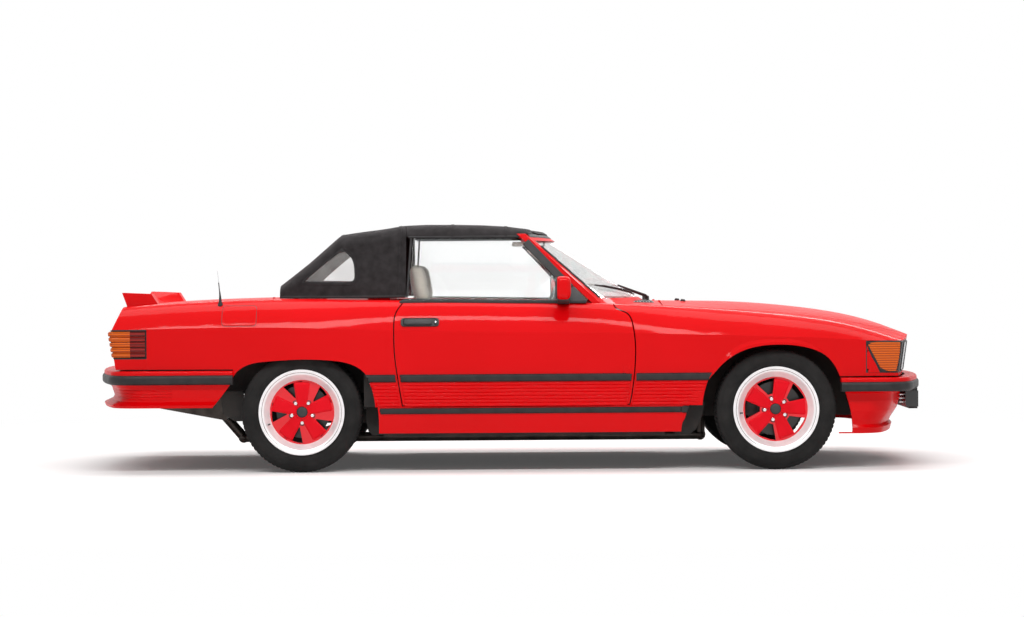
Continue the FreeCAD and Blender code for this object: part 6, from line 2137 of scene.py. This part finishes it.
def pedals():
    for i, y in enumerate((0.260, 0.340, 0.430)):
        block(f"pedal_{i}", (0.640, y - 0.024, 0.300), (0.652, y + 0.024, 0.375), "rubber", "body", 0.004)
        tube(
            f"pedal_arm_{i}", [(0.650, y, 0.360), (0.690, y, 0.480), (0.700, y, 0.560)], 0.007, "iron",
            "body", 10,
        )


def cabin_details():
    horn_pad()
    console()
    for label, side in SIDES:
        mat_and_visor(label, side)
        door_inside(label, side)
    inside_mirror()
    pedals()


# Engine bay, seen when the bonnet is open.


def flat_disc(name, centre, profile, look, body="body", sides=40):
    """Rings of (radius, height) turned about an upright line."""
    cx, cy, cz = centre
    rows = [
        [(cx + radius * c, cy + radius * s, cz + up) for c, s in circle(sides)]
        for radius, up in profile
    ]
    return sharpen(loft(name, rows, look, body), 35)


PULLEY_PROFILE = [
    (1.0, -0.012), (1.0, -0.008), (0.88, -0.003), (0.88, 0.003), (1.0, 0.008), (1.0, 0.012),
    (0.5, 0.012), (0.45, 0.004),
]


def pulley(name, centre, radius):
    profile = [(radius * share, out) for share, out in PULLEY_PROFILE] + [(0.008, 0.006)]
    fore_and_aft(name, centre, profile, "alloy_cast", 32)


def cylinder_bank(label, side):
    """Valve cover with its ribs, plug leads, intake runners and ribs of the block, on one side."""
    rows = []
    for x, size in ((1.015, 0.86), (1.030, 1.0), (1.560, 1.0), (1.575, 0.86)):
        ring = oval_ring(
            Vector((x, side * 0.205, 0.752)), ACROSS, UP, 0.078 * size, 0.034 * size, 0.014, 4.0, 36,
        )
        rows.append(ring)
    sharpen(loft(f"valve_cover_{label}", rows, "alloy_cast", "body"), 40)
    for k, y in enumerate((0.165, 0.190, 0.215, 0.240)):
        block(
            f"cover_rib_{label}_{k}", (1.050, side * y - 0.004, 0.782),
            (1.540, side * y + 0.004, 0.790), "bright", "body", 0.0025,
        )
    for k, x in enumerate(spread(1.06, 1.53, 4)):
        tube(
            f"plug_lead_{label}_{k}",
            [(x, side * 0.285, 0.735), (x, side * 0.310, 0.700), (x + 0.01, side * 0.312, 0.660)],
            0.005, "rubber", "body", 8,
        )
        tube(
            f"intake_runner_{label}_{k}",
            [(x, side * 0.10, 0.742), (x, side * 0.07, 0.772), (x, side * 0.03, 0.778)], 0.020,
            "alloy_cast", "body", 16,
        )
    for k, x in enumerate((1.02, 1.12, 1.22, 1.32, 1.42, 1.52)):
        block(
            f"block_rib_{label}_{k}", (x, side * 0.296, 0.44), (x + 0.012, side * 0.306, 0.72),
            "alloy_cast", "body", 0.003,
        )


def air_filter():
    """Round air filter with its snorkel, and the oil cap beside it."""
    flat_disc(
        "air_filter", (1.290, 0.0, 0.760),
        [
            (0.150, -0.016), (0.158, -0.006), (0.158, 0.014), (0.150, 0.022), (0.120, 0.026),
            (0.030, 0.026), (0.026, 0.031), (0.010, 0.033),
        ],
        "plastic",
    )
    tube(
        "air_snorkel",
        [(1.400, 0.04, 0.765), (1.500, 0.10, 0.762), (1.620, 0.16, 0.735), (1.720, 0.20, 0.690)], 0.030,
        "plastic", "body", 20,
    )
    tube(
        "oil_cap", [(1.540, -0.205, 0.780), (1.540, -0.205, 0.800), (1.540, -0.205, 0.806)],
        [0.022, 0.024, 0.018], "plastic", "body", 24,
    )


def belt_pulleys():
    for i, (y, z, radius) in enumerate(
        ((0.0, 0.540, 0.085), (0.0, 0.360, 0.075), (-0.170, 0.620, 0.045), (0.170, 0.600, 0.050))
    ):
        pulley(f"pulley_{i}", (1.615, y, z), radius)


def coolant_hoses():
    tube(
        "top_hose",
        [(1.600, 0.10, 0.700), (1.700, 0.13, 0.690), (1.800, 0.20, 0.640), (1.910, 0.24, 0.600)], 0.022,
        "rubber", "body", 16,
    )
    tube(
        "bottom_hose", [(1.600, -0.12, 0.400), (1.740, -0.18, 0.370), (1.910, -0.22, 0.350)], 0.022,
        "rubber", "body", 16,
    )


def cooling_fan():
    """Seven twisted blades on a hub."""
    fan_centre = Vector((1.700, 0.0, 0.470))
    for k in range(7):
        a = 2 * math.pi * k / 7
        out = Vector((0, math.cos(a), math.sin(a)))
        cross = Vector((0, -math.sin(a), math.cos(a)))
        rows = []
        for r, half, twist in (
            (0.040, 0.022, 0.012), (0.110, 0.034, 0.016), (0.180, 0.040, 0.014), (0.190, 0.030, 0.012),
        ):
            centre = fan_centre + out * r
            along = cross * half + Vector((twist, 0, 0))
            thick = Vector((0.0015, 0, 0))
            rows.append([
                centre - along - thick, centre + along - thick, centre + along + thick,
                centre - along + thick,
            ])
        loft(f"fan_blade_{k}", rows, "plastic", "body")
    pulley("fan_hub", (1.700, 0.0, 0.470), 0.048)


def battery():
    block("battery_case", (0.840, -0.640, 0.470), (1.020, -0.400, 0.660), "plastic", "body", 0.006)
    block("battery_lid", (0.836, -0.644, 0.655), (1.024, -0.396, 0.674), "black", "body", 0.005)
    for k, y in enumerate((-0.600, -0.440)):
        tube(f"battery_post_{k}", [(0.990, y, 0.670), (0.990, y, 0.690)], 0.009, "bright", "body", 16)


def fluid_tanks():
    """Washer tank, brake fluid tank and brake booster."""
    block("washer_tank", (1.640, 0.320, 0.480), (1.760, 0.410, 0.660), "white", "body", 0.014)
    tube(
        "washer_cap", [(1.700, 0.365, 0.655), (1.700, 0.365, 0.676), (1.700, 0.365, 0.680)],
        [0.026, 0.026, 0.020], "plastic", "body", 24,
    )
    block("brake_tank", (0.850, 0.380, 0.600), (0.950, 0.460, 0.660), "white", "body", 0.008)
    tube(
        "brake_booster",
        [(0.800, 0.420, 0.560), (0.815, 0.420, 0.560), (0.900, 0.420, 0.560), (0.915, 0.420, 0.560)],
        [0.085, 0.105, 0.105, 0.070], "black", "body", 36,
    )


def engine_details():
    for label, side in SIDES:
        cylinder_bank(label, side)
    air_filter()
    belt_pulleys()
    coolant_hoses()
    cooling_fan()
    battery()
    fluid_tanks()


def radiator_fins():
    """Core of thin rows behind the grille, with a cap on its upper tank."""
    for k, z in enumerate(spread(0.330, 0.600, 28)):
        block(
            f"radiator_fin_{k}", (1.9485, -0.325, z - 0.0015), (1.9530, 0.325, z + 0.0015), "alloy_cast",
            "body", 0.0006,
        )
    tube(
        "radiator_cap", [(1.928, 0.16, 0.636), (1.928, 0.16, 0.656), (1.928, 0.16, 0.660)],
        [0.022, 0.026, 0.020], "bright", "body", 24,
    )


# Stage: floor, backdrop light, lamps and camera.

CAMERA_PLACE = (0.010, -15.0, 1.014)
CAMERA_TILT = 0.694
CAMERA_ROLL = 0.39
FOCAL_SHARE = 2740 / 1024
SENSOR = 36.0
WORLD_LEVEL = 0.34
FLOOR_LIFT = 0.06
FLOOR_HALF = 60.0
SHADOW_REACH, WHITE_REACH = 2.6, 5.5


LAMPS = (
    ("overhead", (0, 0, 5.2), (0, 0, 0.5), (7.0, 2.4), 180),
    ("high_right", (0, -4.4, 4.6), (0, 0, 0.6), (9.0, 0.7), 260),
    ("high_left", (0, 4.4, 4.6), (0, 0, 0.6), (9.0, 0.7), 260),
)


def seen_directly(nodes, links):
    """1 for camera, glossy and transmission rays, 0 for the rest."""
    path = nodes.new("ShaderNodeLightPath")
    total = path.outputs["Is Camera Ray"]
    for label in ("Is Glossy Ray", "Is Transmission Ray"):
        larger = nodes.new("ShaderNodeMath")
        larger.operation = "MAXIMUM"
        links.new(total, larger.inputs[0])
        links.new(path.outputs[label], larger.inputs[1])
        total = larger.outputs[0]
    return total


def backdrop():
    """A world that shows white and lights the car more gently than it shows."""
    world = bpy.data.worlds.new("studio")
    bpy.context.scene.world = world
    world.use_nodes = True
    nodes, links = world.node_tree.nodes, world.node_tree.links
    shown = nodes["Background"]
    shown.inputs["Color"].default_value = (1, 1, 1, 1)
    shown.inputs["Strength"].default_value = 1.0
    lighting = nodes.new("ShaderNodeBackground")
    lighting.inputs["Color"].default_value = (1.0, 0.985, 0.98, 1)
    lighting.inputs["Strength"].default_value = WORLD_LEVEL
    mix = nodes.new("ShaderNodeMixShader")
    links.new(seen_directly(nodes, links), mix.inputs["Fac"])
    links.new(lighting.outputs[0], mix.inputs[1])
    links.new(shown.outputs[0], mix.inputs[2])
    links.new(mix.outputs[0], nodes["World Output"].inputs["Surface"])


def floor_material():
    """Pale studio floor that takes the car's shadow and turns to plain white further out."""
    mat = bpy.data.materials.new("studio_floor")
    mat.use_nodes = True
    nodes, links = mat.node_tree.nodes, mat.node_tree.links
    nodes.clear()
    seen = seen_directly(nodes, links)
    matte = nodes.new("ShaderNodeBsdfDiffuse")
    matte.inputs["Color"].default_value = (0.90, 0.885, 0.88, 1)
    glow = nodes.new("ShaderNodeEmission")
    lift = nodes.new("ShaderNodeMath")
    lift.operation = "MULTIPLY"
    lift.inputs[1].default_value = FLOOR_LIFT
    links.new(seen, lift.inputs[0])
    links.new(lift.outputs[0], glow.inputs["Strength"])
    both = nodes.new("ShaderNodeAddShader")
    links.new(matte.outputs[0], both.inputs[0])
    links.new(glow.outputs[0], both.inputs[1])
    place = nodes.new("ShaderNodeTexCoord")
    length = nodes.new("ShaderNodeVectorMath")
    length.operation = "LENGTH"
    links.new(place.outputs["Object"], length.inputs[0])
    far = nodes.new("ShaderNodeMapRange")
    far.interpolation_type = "SMOOTHSTEP"
    far.inputs["From Min"].default_value = SHADOW_REACH
    far.inputs["From Max"].default_value = WHITE_REACH
    links.new(length.outputs["Value"], far.inputs["Value"])
    share = nodes.new("ShaderNodeMath")
    share.operation = "MULTIPLY"
    links.new(far.outputs["Result"], share.inputs[0])
    links.new(seen, share.inputs[1])
    white = nodes.new("ShaderNodeEmission")
    white.inputs["Strength"].default_value = 1.0
    mix = nodes.new("ShaderNodeMixShader")
    links.new(share.outputs[0], mix.inputs["Fac"])
    links.new(both.outputs[0], mix.inputs[1])
    links.new(white.outputs[0], mix.inputs[2])
    output = nodes.new("ShaderNodeOutputMaterial")
    links.new(mix.outputs[0], output.inputs["Surface"])
    return mat


def floor():
    mesh = bpy.data.meshes.new("studio_floor")
    corners = [(x * FLOOR_HALF, y * FLOOR_HALF, 0) for x, y in ((-1, -1), (1, -1), (1, 1), (-1, 1))]
    mesh.from_pydata(corners, [], [(0, 1, 2, 3)])
    mesh.materials.append(floor_material())
    obj = bpy.data.objects.new("studio_floor", mesh)
    bpy.context.scene.collection.objects.link(obj)


def soft_lamp(name, place, target, size, power):
    data = bpy.data.lights.new(name, "AREA")
    data.shape = "RECTANGLE"
    data.size, data.size_y = size
    data.energy = power
    obj = bpy.data.objects.new(name, data)
    bpy.context.scene.collection.objects.link(obj)
    obj.location = place
    direction = Vector(target) - Vector(place)
    obj.rotation_euler = direction.to_track_quat("-Z", "Y").to_euler()


def camera():
    data = bpy.data.cameras.new("camera")
    data.sensor_width = SENSOR
    data.sensor_fit = "HORIZONTAL"
    data.lens = SENSOR * FOCAL_SHARE
    data.clip_end = 200
    obj = bpy.data.objects.new("camera", data)
    bpy.context.scene.collection.objects.link(obj)
    look = Matrix.Rotation(math.radians(90 - CAMERA_TILT), 4, "X")
    roll = Matrix.Rotation(math.radians(-CAMERA_ROLL), 4, "Z")
    obj.matrix_world = Matrix.Translation(CAMERA_PLACE) @ look @ roll
    bpy.context.scene.camera = obj


def stage():
    bpy.context.scene.view_settings.view_transform = "Standard"
    backdrop()
    floor()
    for lamp in LAMPS:
        soft_lamp(*lamp)
    camera()


def build():
    dress_nodes()
    wheels()
    side_mouldings()
    fuel_flap()
    antenna()
    grille_slats()
    bumper_joints()
    wipers()
    for label, side in SIDES:
        door_handle(label, side, Skin([f"door_{label}"]), f"door_{label}_body")
        headlamp_details(label, side)
        corner_lamp(label, side)
        tail_lens(label, side)
        tail_seal(label, side)
        fog_lamp_details(label, side)
        apron_details(label, side)
        mirror(label, side)
        glass_guides(label, side)
        pillar_trims(label, side)
        sill_end_pieces(label, side)
        arch_guards(label, side)
        paint_patches(label, side)
    header_seal()
    cowl_louvres()
    washer_jets()
    tail_pipes()
    soft_top()
    seats()
    engine_details()
    radiator_fins()
    dashboard_details()
    cabin_details()
    stage()


build()
